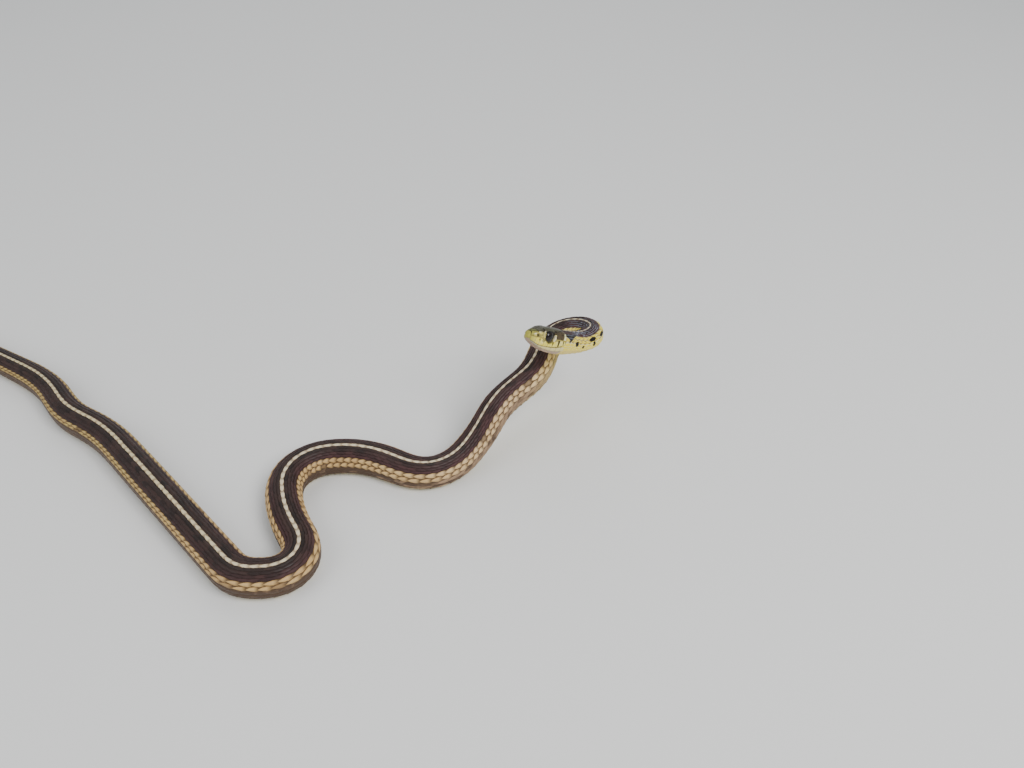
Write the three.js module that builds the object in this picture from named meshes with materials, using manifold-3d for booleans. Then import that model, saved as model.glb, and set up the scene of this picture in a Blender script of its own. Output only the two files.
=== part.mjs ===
// Eastern garter snake, life size, at rest on a level floor: tail and trunk lie in shallow bends,
// the forebody climbs, and the neck turns back in a small loop so that the head looks over it.
// Millimetres, +Z up. The origin is the middle of the bounding box, on the floor.
// The whole animal is one surface around a course that runs from the snout to the tail tip;
// thin cuts across the course part it into named lengths.
import * as THREE from "three";
import { mergeVertices } from "three/addons/utils/BufferGeometryUtils.js";
import Module from "manifold-3d";

const wasm = await Module();
wasm.setup();

// Driving lengths, measured along the course from the tip of the snout.
const TOTAL_LENGTH = 752;
const HEAD_LENGTH = 27;
const VENT_AT = 590;
const STEP = 1;
const CUT_GAP = 0.3;

// The course. Its plan passes ANCHOR_POINT at ANCHOR_AT, where the trunk lies on the floor.
const ANCHOR_AT = 205;
const ANCHOR_POINT = [115.21, -13.7];
const ANCHOR_HEADING = 348.2;
// Each turn starts `at` a distance from the snout, is spread `over` a length, and adds `turn` degrees
// to the heading, going towards the tail.
const BENDS = [
  { at: 39.8, over: 24.2, turn: 109.7 },
  { at: 55.4, over: 33.7, turn: 102.5 },
  { at: 85.8, over: 36.2, turn: -62.8 },
  { at: 102.1, over: 23.7, turn: 39.5 },
  { at: 148.7, over: 34.4, turn: -46.6 },
  { at: 165.7, over: 25.4, turn: -30.2 },
  { at: 184, over: 50, turn: 43 },
  { at: 218, over: 41, turn: 76 },
  { at: 234, over: 58, turn: 34 },
  { at: 280, over: 53, turn: -59 },
  { at: 281, over: 34, turn: -79 },
  { at: 317, over: 18, turn: -33 },
  { at: 425, over: 47, turn: 18 },
  { at: 458, over: 36, turn: -29 },
  { at: 473, over: 57, turn: 26 },
  { at: 562, over: 150, turn: 105 },
];
// The head is held nose up; the climb then eases off until the body lies level on the floor.
const HEAD_CLIMB = 31.3;
const CLIMBS = [
  { at: 30, over: 27, turn: -49.4 },
  { at: 39.7, over: 13.9, turn: 37.7 },
  { at: 118.4, over: 14.6, turn: 26.8 },
  { at: 122.5, over: 48.9, turn: -46.4 },
];
// The head leans to its right, the forebody a little to its left.
const HEAD_LEAN = 15;
const LEANS = [
  { at: 26, over: 14, turn: -7 },
  { at: 52, over: 22, turn: -24 },
  { at: 82, over: 24, turn: 6 },
  { at: 125, over: 50, turn: 10 },
];

// Half width of the body, and for the head its height above and depth below the course.
const HALF_WIDTHS = [
  [2.3, 2.95], [5.4, 4.05], [8.6, 4.85], [11.3, 5.2], [14.5, 5.6], [18.4, 6.3], [21, 6.45], [24.3, 6.1],
  [28, 5.5], [33, 5.3], [40, 5.5], [45, 5.7], [60, 6.7], [76, 7.2], [100, 7.6], [130, 7.4], [165, 7.5],
  [195, 8.2], [230, 8.4], [400, 8.4], [480, 7.7], [560, 6.2], [590, 5.4], [640, 4.4], [700, 2.6],
  [745, 1.0], [752, 0.7],
];
const HEAD_HEIGHTS = [
  [2.3, 2.6], [5.4, 3.6], [8.6, 4.35], [11.3, 4.65], [15, 4.65], [24, 4.45], [28, 4.55], [40, 5.06],
];
const HEAD_DEPTHS = [
  [2.3, 3.0], [5.4, 4.4], [8.6, 5.45], [13, 6.55], [18.4, 7.25], [24, 7.15], [31, 6.3], [40, 5.06],
];
const HEIGHT_SHARE = 0.92;
const NECK_FROM = 40;
const SNOUT_ROUNDING = 2.9;
// Squareness of the section: 2 is an ellipse. The head is flat on top, the belly flatter than the back.
const BACK_SQUARENESS = [
  [2.3, 2.4], [9, 2.9], [18, 2.7], [27, 2.3], [38, 2.15],
];
const BELLY_SQUARENESS = 2.7;
const FLOOR_SINK = 0.35;
const FLOOR_FROM = 205;

const smooth = (t) => {
  const c = Math.min(Math.max(t, 0), 1);
  return c * c * (3 - 2 * c);
};
const radians = THREE.MathUtils.degToRad;
const turned = (start, turns, s) =>
  turns.reduce((sum, { at, over, turn }) => sum + turn * smooth((s - at) / over), start);

// Value of a table of [distance, value] rows, joined by smooth monotone pieces.
function along(rows, s) {
  if (s <= rows[0][0]) return rows[0][1];
  const last = rows.length - 1;
  if (s >= rows[last][0]) return rows[last][1];
  let k = 0;
  while (s > rows[k + 1][0]) k += 1;
  const slope = (i) => (rows[i + 1][1] - rows[i][1]) / (rows[i + 1][0] - rows[i][0]);
  const tangent = (i) => {
    if (i === 0) return slope(0);
    if (i === last) return slope(last - 1);
    const [a, b] = [slope(i - 1), slope(i)];
    return a * b <= 0 ? 0 : (2 * a * b) / (a + b);
  };
  const width = rows[k + 1][0] - rows[k][0];
  const t = (s - rows[k][0]) / width;
  return (
    rows[k][1] * (1 + 2 * t) * (1 - t) ** 2 +
    rows[k + 1][1] * t * t * (3 - 2 * t) +
    width * (tangent(k) * t * (1 - t) ** 2 - tangent(k + 1) * t * t * (1 - t))
  );
}

// Half sizes of the section at a distance s: half width, height above, depth below.
function sizes(s) {
  const width = along(HALF_WIDTHS, s);
  const round = HEIGHT_SHARE * width;
  const nose = 1 - Math.min(Math.max(s, 0) / SNOUT_ROUNDING, 1);
  const front = Math.sqrt(1 - nose * nose);
  const up = s < NECK_FROM ? along(HEAD_HEIGHTS, s) : round;
  const down = s < NECK_FROM ? along(HEAD_DEPTHS, s) : round;
  return { width: width * front, up: up * front, down: down * front };
}

// Centre line by adding up short steps from the anchor, once for the plan and once for the height.
function makeCourse() {
  const count = Math.round(TOTAL_LENGTH / STEP) + 1;
  const anchorTurn = turned(0, BENDS, ANCHOR_AT);
  const steps = Array.from({ length: count }, (_, i) => {
    const s = i * STEP;
    const heading = radians(ANCHOR_HEADING - anchorTurn + turned(0, BENDS, s));
    const climb = radians(turned(HEAD_CLIMB, CLIMBS, s));
    return new THREE.Vector3(
      -Math.cos(climb) * Math.cos(heading),
      -Math.cos(climb) * Math.sin(heading),
      -Math.sin(climb),
    );
  });
  const points = [new THREE.Vector3()];
  for (let i = 1; i < count; i += 1) {
    const half = steps[i - 1].clone().add(steps[i]).multiplyScalar(STEP / 2);
    points.push(points[i - 1].clone().add(half));
  }
  const anchor = points[ANCHOR_AT / STEP].clone();
  const floor = points[FLOOR_FROM / STEP].z;
  points.forEach((p, i) => {
    p.x += ANCHOR_POINT[0] - anchor.x;
    p.y += ANCHOR_POINT[1] - anchor.y;
    p.z += HEIGHT_SHARE * along(HALF_WIDTHS, Math.max(i * STEP, NECK_FROM)) - FLOOR_SINK - floor;
  });
  return points;
}
const COURSE = makeCourse();

// Place and axes of the section at s: front (to the snout), left and up, leaning as the body leans.
function stationAt(s) {
  const i = Math.min(Math.max(s / STEP, 0), COURSE.length - 1.001);
  const k = Math.floor(i);
  const near = (j) => COURSE[Math.min(Math.max(j, 0), COURSE.length - 1)];
  const tangentAt = (j) => near(j - 1).clone().sub(near(j + 1)).normalize();
  const point = near(k).clone().lerp(near(k + 1), i - k);
  const front = tangentAt(k).lerp(tangentAt(k + 1), i - k).normalize();
  const level = new THREE.Vector3(0, 0, 1).cross(front).normalize();
  const upright = front.clone().cross(level);
  const lean = radians(turned(HEAD_LEAN, LEANS, s));
  const left = level.clone().multiplyScalar(Math.cos(lean)).addScaledVector(upright, Math.sin(lean));
  const up = upright.multiplyScalar(Math.cos(lean)).addScaledVector(level, -Math.sin(lean));
  return { point, front, left, up };
}

// A point of the section: `angle` runs from the back (0) over the left side (90) to the belly (180),
// and is negative on the right. `raise` lifts the point off the surface.
function sectionPoint(s, angle, raise = 0) {
  const { width, up, down } = sizes(s);
  const station = stationAt(s);
  const a = radians(angle);
  const [sin, cos] = [Math.sin(a), Math.cos(a)];
  const power = 2 / (cos > 0 ? along(BACK_SQUARENESS, s) : BELLY_SQUARENESS);
  const x = Math.sign(sin) * Math.abs(sin) ** power * (width + raise);
  const z = Math.sign(cos) * Math.abs(cos) ** power * ((cos > 0 ? up : down) + raise);
  const p = station.point.clone().addScaledVector(station.left, x).addScaledVector(station.up, z);
  p.z = Math.max(p.z, 0);
  return p;
}

// A closed solid from rings of equal count, front ring first.
function loft(rings) {
  const count = rings[0].length;
  const points = rings.flat();
  const faces = [];
  for (let i = 0; i + 1 < rings.length; i += 1) {
    for (let j = 0; j < count; j += 1) {
      const k = (j + 1) % count;
      const [a, b, c, d] = [i * count + j, i * count + k, (i + 1) * count + j, (i + 1) * count + k];
      faces.push(a, b, c, b, d, c);
    }
  }
  const cap = (ring, first, reversed) => {
    const middle = ring.reduce((sum, p) => sum.add(p), new THREE.Vector3()).divideScalar(count);
    points.push(middle);
    for (let j = 0; j < count; j += 1) {
      const [a, b] = [first + j, first + ((j + 1) % count)];
      faces.push(points.length - 1, ...(reversed ? [b, a] : [a, b]));
    }
  };
  cap(rings[0], 0, true);
  cap(rings.at(-1), (rings.length - 1) * count, false);
  const geometry = new THREE.BufferGeometry().setFromPoints(points);
  geometry.setIndex(faces);
  return geometry;
}

function toSolid(geometry) {
  const bare = geometry.clone();
  bare.deleteAttribute("normal");
  bare.deleteAttribute("uv");
  const merged = mergeVertices(bare, 1e-4);
  return new wasm.Manifold(
    new wasm.Mesh({
      numProp: 3,
      vertProperties: new Float32Array(merged.attributes.position.array),
      triVerts: new Uint32Array(merged.index.array),
    }),
  );
}

function toGeometry(solid) {
  const mesh = solid.getMesh();
  const geometry = new THREE.BufferGeometry();
  geometry.setAttribute("position", new THREE.BufferAttribute(new Float32Array(mesh.vertProperties), 3));
  geometry.setIndex(new THREE.BufferAttribute(new Uint32Array(mesh.triVerts), 1));
  geometry.computeVertexNormals();
  return geometry;
}

// One row of belly scutes runs from the throat to the vent, and a like row under the tail. Each scute
// spans the belly between its two ends, rises towards its free rear edge and drops to the next one.
const SCUTE_END = 121;
const SCUTE_RAISE = 0.35;
const SCUTE_DROP = 0.2;
const SCUTE_PITCH = { least: 3, perWidth: 0.24 };
const BACK_ANGLES = [0, 27, 53, 78, 100];
const BELLY_ANGLES = [SCUTE_END - 5, SCUTE_END, 150];
const TAIL_BACK_ANGLES = [0, 36, 70, 98];
const TAIL_BELLY_ANGLES = [SCUTE_END - 5, SCUTE_END, 152];

const mirrored = (half) => [...half, 180, ...half.slice(1).reverse().map((angle) => 360 - angle)];
const scutePitch = (s) => SCUTE_PITCH.least + SCUTE_PITCH.perWidth * along(HALF_WIDTHS, s);

function scuteRing(s, angles, raise) {
  return angles.map((angle) => {
    const onBelly = Math.min(angle, 360 - angle) >= SCUTE_END;
    return sectionPoint(s, angle, onBelly ? raise : 0);
  });
}

// A length of the body between two cuts across the course.
function bodyLength(from, to) {
  const start = from + CUT_GAP / 2;
  const end = to === TOTAL_LENGTH ? to : to - CUT_GAP / 2;
  const count = Math.max(2, Math.round((end - start) / scutePitch((start + end) / 2)));
  const onTail = from >= VENT_AT;
  const half = onTail ? [...TAIL_BACK_ANGLES, ...TAIL_BELLY_ANGLES] : [...BACK_ANGLES, ...BELLY_ANGLES];
  const angles = mirrored(half);
  const rings = [];
  for (let i = 0; i < count; i += 1) {
    const front = start + ((end - start) * i) / count;
    const rear = start + ((end - start) * (i + 1)) / count;
    const raise = SCUTE_RAISE * Math.min(1, along(HALF_WIDTHS, front) / 5);
    rings.push(scuteRing(i === 0 ? front : front + SCUTE_DROP / 2, angles, 0));
    rings.push(scuteRing(i === count - 1 ? rear : rear - SCUTE_DROP / 2, angles, raise));
  }
  return loft(rings);
}

// The eyeball is a flattened ball on the side of the head, under the brow shield.
const EYE = { at: 10.1, out: 3.95, up: 1.1, length: 2.7, height: 2.6, depth: 2.0, clear: 0.3 };
function eyeBall(side, clear) {
  const { point, front, left, up } = stationAt(EYE.at);
  const centre = point.clone().addScaledVector(left, side * EYE.out).addScaledVector(up, EYE.up);
  const place = new THREE.Matrix4().makeBasis(
    front.multiplyScalar(EYE.length + clear),
    left.multiplyScalar(EYE.depth + clear),
    up.multiplyScalar(EYE.height + clear),
  );
  return new THREE.SphereGeometry(1, 16, 12).applyMatrix4(place.setPosition(centre));
}

// Head shields, as corners [distance, angle] of the left side. The seams between them share these values.
const SEAM = {
  internasal: 4, nasal: 4.7, prefrontal: 7.3, frontalEnd: 13.9, browEnd: 13.2, parietalEnd: 20.4,
  canthus: 48, lip: 90,
};
const SHIELDS = {
  internasal: [
    [1.12, 0], [1.1, 24], [SEAM.internasal, SEAM.canthus - 6], [SEAM.internasal, 0],
  ],
  prefrontal: [
    [SEAM.internasal, 0], [SEAM.internasal, SEAM.canthus - 6], [6.6, SEAM.canthus + 4],
    [SEAM.prefrontal, 22], [SEAM.prefrontal, 0],
  ],
  brow: [
    [SEAM.prefrontal, 22], [7, SEAM.canthus], [8.6, 59], [12.6, 59], [SEAM.browEnd, 40], [12.3, 17],
  ],
  parietal: [
    [SEAM.frontalEnd, 0], [12.3, 16], [SEAM.browEnd, 40], [15, 48], [19.2, 28], [SEAM.parietalEnd, 9],
    [SEAM.parietalEnd, 0],
  ],
  nasal: [
    [1.08, 26], [0.75, 55], [0.6, 87], [SEAM.nasal, 89], [SEAM.internasal, SEAM.canthus - 5],
  ],
  loreal: [[SEAM.internasal, SEAM.canthus - 4], [SEAM.nasal, 89], [6.3, 90], [6.3, SEAM.canthus + 5]],
  preocular: [[6.3, SEAM.canthus + 6], [6.3, 90], [7.5, 91], [8.2, 62]],
  temporal: [[14.4, 50], [14.4, 89], [17.2, 89], [17.4, 42]],
  temporalUpper: [[17.4, 42], [17.3, 66], [20.4, 64], [19.8, 27]],
  temporalLower: [[17.3, 67], [17.2, 89], [20.4, 89], [20.4, 65]],
  chinFront: [[3.1, 180], [2.9, 169], [4.4, 161], [8.4, 153], [8.6, 180]],
  chinRear: [[8.8, 180], [8.7, 154], [10.2, 149], [13.2, 153], [13, 175]],
};
const FRONTAL = [
  [SEAM.prefrontal, 0], [SEAM.prefrontal, 21], [12.2, 15], [SEAM.frontalEnd, 0], [12.2, -15],
  [SEAM.prefrontal, -21],
];
const MENTAL = [[0.85, 180], [1.2, 153], [2.9, 167], [3, 180], [2.9, 193], [1.2, 207]];
// The rostral's corners are given for the whole plate, around the tip of the snout.
const ROSTRAL = [
  [1, 0], [0.95, 22], [0.7, 45], [0.45, 75], [0.42, 100], [0.5, 125], [0.28, 180],
  [0.5, 235], [0.42, 260], [0.45, 285], [0.7, 315], [0.95, 338],
];
const POSTOCULARS = { from: 12.9, to: 14.3, edges: [58, 69, 80, 91] };
// The mouth line, as angle by distance, and the seams of the shields above and below it.
const MOUTH = [
  [1, 138], [4.2, 138], [6.5, 134], [8.7, 126], [11.7, 120], [14.4, 116], [16.4, 110], [18.2, 105],
  [20.5, 103],
];
const MOUTH_END = 20.5;
const MOUTH_FRONT = { side: 1, middle: 0.55 };
const MOUTH_GROOVE = { half: 0.28, depth: 0.5, above: 0.35 };
const UPPER_LIP_SEAMS = [0.65, 2.8, 5, 7.3, 9.8, 12.7, 16.1, 18.9, 20.4];
const LOWER_LIP_SEAMS = [1.3, 3.4, 5.4, 7.6, 10, 12.8, 15.8, 18.2, 20.4];
const LOWER_LIP_DEPTH = [[3, 17], [8, 22]];
const UNDER_EYE_DIP = 11;
const LIP_EDGE = 3;
const SHIELD = {
  raise: 0.2, crown: 0.06, edge: 0.5, rim: 0.88, seam: 0.08, root: 0.6, step: 3, large: 2.2,
};
const BROW_RAISE = 0.42;
const NOSTRIL = { at: 3.5, angle: 77, radius: 0.5 };

// Surface point and outward normal at a distance and an angle.
function surfaceAt(s, angle) {
  const step = 0.05;
  const point = sectionPoint(s, angle);
  const rearward = sectionPoint(s + step, angle).sub(sectionPoint(s - step / 2, angle));
  const around = sectionPoint(s, angle + 1).sub(sectionPoint(s, angle - 1));
  const normal = around.cross(rearward).normalize();
  return { point, normal };
}
const lifted = (s, angle, raise) => {
  const { point, normal } = surfaceAt(s, angle);
  return point.addScaledVector(normal, raise);
};

// The same solid with its faces turned outward, whichever way its rings run.
function toOutward(geometry) {
  const solid = toSolid(geometry);
  if (solid.volume() > 0) return solid;
  const flipped = geometry.clone();
  const index = flipped.index.array;
  for (let i = 0; i < index.length; i += 3) [index[i], index[i + 1]] = [index[i + 1], index[i]];
  return toSolid(flipped);
}

// Two ways to lay an outline on the head: along its side, and around the tip of the snout.
const onSide = (v) => [v.x, v.y];
const onSnout = (v) => [v.length(), THREE.MathUtils.radToDeg(v.angle())];
const aroundSnout = ([s, angle]) => [s * Math.cos(radians(angle)), s * Math.sin(radians(angle))];

// A shield: a low crowned plate over an outline, its root sunk into the head.
function shieldPlate(outline, raise = SHIELD.raise, place = onSide) {
  const corners = outline.map(([x, y]) => new THREE.Vector2(x, y));
  const centre = corners.reduce((sum, p) => sum.add(p), new THREE.Vector2()).divideScalar(corners.length);
  const at = (v) => sectionPoint(...place(v));
  const middle = at(centre);
  const edge = [];
  corners.forEach((corner, i) => {
    const next = corners[(i + 1) % corners.length];
    const parts = Math.max(1, Math.round(at(corner).distanceTo(at(next)) / SHIELD.step));
    for (let j = 0; j < parts; j += 1) edge.push(corner.clone().lerp(next, j / parts));
  });
  const ring = (share, lift, inset) =>
    edge.map((p) => {
      const v = centre.clone().lerp(p, share * (1 - inset / at(p).distanceTo(middle)));
      return lifted(...place(v), lift);
    });
  const rings = [
    ring(1, -SHIELD.root, SHIELD.seam),
    ring(1, raise * SHIELD.edge, SHIELD.seam),
    ring(SHIELD.rim, raise, SHIELD.seam),
  ];
  const reach = Math.max(...edge.map((p) => at(p).distanceTo(middle)));
  if (reach > SHIELD.large || place === onSnout) rings.push(ring(0.5, raise + SHIELD.crown, 0));
  if (place === onSnout) rings.push(ring(0.12, raise + SHIELD.crown, 0));
  return toOutward(loft(rings));
}

const mouthAngle = (s) => along(MOUTH, s);
// The lip shields are lower where they pass under the eye.
function lipTop(s) {
  const toEye = Math.abs(s - EYE.at) / EYE.length;
  return SEAM.lip + UNDER_EYE_DIP * (1 - smooth(toEye - 0.5));
}

const lowerLipEdge = (s) => mouthAngle(s) + along(LOWER_LIP_DEPTH, s);

// Shields between neighbouring seams of a row, from an upper to a lower edge angle.
function shieldRow(seams, upper, lower) {
  return seams.slice(1).map((rear, i) => {
    const front = seams[i];
    return [[front, upper(front)], [rear, upper(rear)], [rear, lower(rear)], [front, lower(front)]];
  });
}

function headShields() {
  const { from, to, edges } = POSTOCULARS;
  const sides = [
    ...Object.values(SHIELDS),
    ...edges.slice(1).map((low, i) => [[from, edges[i]], [from, low], [to, low], [to, edges[i]]]),
    ...shieldRow(UPPER_LIP_SEAMS, lipTop, (s) => mouthAngle(s) - LIP_EDGE),
    ...shieldRow(LOWER_LIP_SEAMS, (s) => mouthAngle(s) + LIP_EDGE, lowerLipEdge),
  ];
  const plates = [shieldPlate(FRONTAL), shieldPlate(MENTAL)];
  plates.push(shieldPlate(ROSTRAL.map(aroundSnout), SHIELD.raise, onSnout));
  for (const outline of sides) {
    const raise = outline === SHIELDS.brow ? BROW_RAISE : SHIELD.raise;
    for (const side of [1, -1]) {
      plates.push(shieldPlate(outline.map(([s, angle]) => [s, side * angle]), raise));
    }
  }
  return plates;
}

// The groove of the closed mouth, from the left corner round the snout to the right corner.
function mouthGroove() {
  const half = [];
  const count = 14;
  for (let i = 0; i <= count; i += 1) {
    const s = MOUTH_END + ((MOUTH_FRONT.side - MOUTH_END) * i) / count;
    half.push([s, mouthAngle(s)]);
  }
  const turns = 4;
  const corner = mouthAngle(MOUTH_FRONT.side);
  for (let i = 1; i < turns; i += 1) {
    const t = i / turns;
    half.push([
      MOUTH_FRONT.side + (MOUTH_FRONT.middle - MOUTH_FRONT.side) * smooth(t),
      corner + (180 - corner) * t,
    ]);
  }
  const path = [...half, [MOUTH_FRONT.middle, 180], ...half.reverse().map(([s, angle]) => [s, 360 - angle])];
  const spots = path.map(([s, angle]) => surfaceAt(s, angle));
  const rings = spots.map(({ point, normal }, i) => {
    const before = spots[Math.max(i - 1, 0)].point;
    const after = spots[Math.min(i + 1, spots.length - 1)].point;
    const across = after.clone().sub(before).normalize().cross(normal);
    const corners = [[1, 1], [-1, 1], [0, -1]];
    return corners.map(([x, z]) =>
      point
        .clone()
        .addScaledVector(across, x * MOUTH_GROOVE.half)
        .addScaledVector(normal, z > 0 ? MOUTH_GROOVE.above : -MOUTH_GROOVE.depth),
    );
  });
  return toOutward(loft(rings));
}

function nostril(side) {
  const { point } = surfaceAt(NOSTRIL.at, side * NOSTRIL.angle);
  const ball = new THREE.SphereGeometry(NOSTRIL.radius, 8, 6);
  return toSolid(ball.translate(point.x, point.y, point.z));
}

const HEAD_SIDES = 24;
const SNOUT_RINGS = 5;
const HEAD_RINGS = 13;
function headSolid() {
  const angles = Array.from({ length: HEAD_SIDES }, (_, j) => (360 * j) / HEAD_SIDES);
  const rings = [];
  for (let i = 1; i <= SNOUT_RINGS; i += 1) {
    const s = SNOUT_ROUNDING * (1 - Math.cos((Math.PI / 2) * (i / SNOUT_RINGS)));
    rings.push(scuteRing(s, angles, 0));
  }
  const end = HEAD_LENGTH - CUT_GAP / 2;
  for (let i = 1; i <= HEAD_RINGS; i += 1) {
    rings.push(scuteRing(SNOUT_ROUNDING + ((end - SNOUT_ROUNDING) * i) / HEAD_RINGS, angles, 0));
  }
  const bare = toSolid(loft(rings));
  const whole = wasm.Manifold.union([bare, ...headShields()]);
  const cuts = [mouthGroove()];
  for (const side of [1, -1]) cuts.push(toSolid(eyeBall(side, EYE.clear)), nostril(side));
  const cut = whole.subtract(wasm.Manifold.union(cuts)).decompose();
  const largest = cut.reduce((a, b) => (a.volume() > b.volume() ? a : b));
  return toGeometry(largest);
}

const SKIN = new THREE.MeshStandardMaterial({ color: 0x3a2c22, roughness: 0.5, metalness: 0 });
const HEAD_SKIN = new THREE.MeshStandardMaterial({ color: 0x6b6236, roughness: 0.4, metalness: 0 });
const EYE_SKIN = new THREE.MeshStandardMaterial({ color: 0x160f0a, roughness: 0.05, metalness: 0 });

const LENGTHS = [
  ["neck_upper", HEAD_LENGTH, 60],
  ["neck_lower", 60, 96],
  ["forebody_upper", 96, 132],
  ["forebody_lower", 132, 168],
  ["trunk_1", 168, 214],
  ["trunk_2", 214, 256],
  ["trunk_3", 256, 298],
  ["trunk_4", 298, 342],
  ["trunk_5", 342, 420],
  ["trunk_6", 420, 505],
  ["trunk_7", 505, VENT_AT],
  ["tail_base", VENT_AT, 645],
  ["tail_middle", 645, 700],
  ["tail_tip", 700, TOTAL_LENGTH],
];

const snake = new THREE.Group();
snake.name = "garter_snake";
function addPart(name, geometry, material) {
  const mesh = new THREE.Mesh(geometry, material.clone());
  mesh.name = name;
  snake.add(mesh);
}

addPart("head", headSolid(), HEAD_SKIN);
addPart("eye_left", eyeBall(1, 0), EYE_SKIN);
addPart("eye_right", eyeBall(-1, 0), EYE_SKIN);
for (const [name, from, to] of LENGTHS) addPart(name, bodyLength(from, to), SKIN);

export default snake;
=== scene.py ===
"""A life-size eastern garter snake at rest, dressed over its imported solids.

One skin runs from the snout to the tail tip. Keeled scales, belly scutes and head shields lie on it as
solid mesh, each laid out by its distance from the snout and its angle around the body. They follow the
bent body too closely for primitives, so their meshes are made from arrays. Body sizes are millimetres.
"""

import logging
import math
from collections.abc import Callable, Sequence
from dataclasses import dataclass, field
from enum import Enum

import bpy
import numpy as np
from mathutils import Matrix, Vector

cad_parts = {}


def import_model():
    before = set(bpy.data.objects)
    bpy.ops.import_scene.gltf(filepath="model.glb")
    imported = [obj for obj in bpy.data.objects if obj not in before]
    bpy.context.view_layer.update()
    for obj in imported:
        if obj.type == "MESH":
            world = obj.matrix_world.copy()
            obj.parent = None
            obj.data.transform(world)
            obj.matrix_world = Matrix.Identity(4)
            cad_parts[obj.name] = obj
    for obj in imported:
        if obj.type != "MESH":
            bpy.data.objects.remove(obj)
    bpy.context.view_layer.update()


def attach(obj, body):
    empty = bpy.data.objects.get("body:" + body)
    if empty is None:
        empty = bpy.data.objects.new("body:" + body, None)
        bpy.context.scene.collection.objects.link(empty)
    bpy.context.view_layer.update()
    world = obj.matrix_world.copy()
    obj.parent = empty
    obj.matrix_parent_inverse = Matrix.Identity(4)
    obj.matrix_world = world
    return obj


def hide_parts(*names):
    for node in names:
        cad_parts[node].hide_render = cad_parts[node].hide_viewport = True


LOG = logging.getLogger("garter_snake")
Array = np.ndarray
Colour = tuple[float, float, float]
Span = tuple[float, float]
Place = tuple[float, float, float]
Ring = tuple[float, float, float]
Outline = Sequence[Span]
MM = 0.001
SEED = 19
EYE_AT = 10.1
MOUTH_END = 20.5
VENT_AT = 590.0
FLESH = (
    "head",
    *(f"{length}_{end}" for length in ("neck", "forebody") for end in ("upper", "lower")),
    *(f"trunk_{i}" for i in range(1, 8)),
    *(f"tail_{end}" for end in ("base", "middle", "tip")),
)


def smooth(t: Array | float) -> Array:
    """Rises from 0 to 1 between 0 and 1, level at both ends."""
    c = np.clip(t, 0.0, 1.0)
    return c * c * (3.0 - 2.0 * c)


def unit(v: Array) -> Array:
    """Vectors of length 1 along v."""
    return v / np.maximum(np.linalg.norm(v, axis=-1, keepdims=True), 1e-9)


@dataclass(frozen=True)
class Turn:
    """A change of direction that starts at a distance from the snout and is spread over a length."""

    at: float
    over: float
    degrees: float


@dataclass(frozen=True)
class Table:
    """A value along the body, given at a few distances and joined by smooth monotone pieces."""

    rows: tuple[tuple[float, float], ...]

    def at(self, s: Array | float) -> Array:
        """Values at the distances s.

        Args:
            s: Distances from the snout, in millimetres.

        Returns:
            An array of the shape of s.
        """
        x, y = np.array(self.rows).T
        slope = np.diff(y) / np.diff(x)
        product = slope[:-1] * slope[1:]
        total = np.where(product > 0.0, slope[:-1] + slope[1:], 1.0)
        inner = np.where(product > 0.0, 2.0 * product / total, 0.0)
        tangent = np.concatenate([slope[:1], inner, slope[-1:]])
        s = np.clip(np.asarray(s, float), x[0], x[-1])
        k = np.clip(np.searchsorted(x, s, side="right") - 1, 0, len(x) - 2)
        width = x[k + 1] - x[k]
        t = (s - x[k]) / width
        level = y[k] * (1 + 2 * t) * (1 - t) ** 2 + y[k + 1] * t * t * (3 - 2 * t)
        return level + width * (tangent[k] * t * (1 - t) ** 2 - tangent[k + 1] * t * t * (1 - t))


# Angle of the closed mouth by distance from the snout.
MOUTH_LINE = Table(
    ((1, 138), (4.2, 138), (6.5, 134), (8.7, 126), (11.7, 120), (14.4, 116), (16.4, 110), (18.2, 105))
    + ((MOUTH_END, 103),)
)


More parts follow.
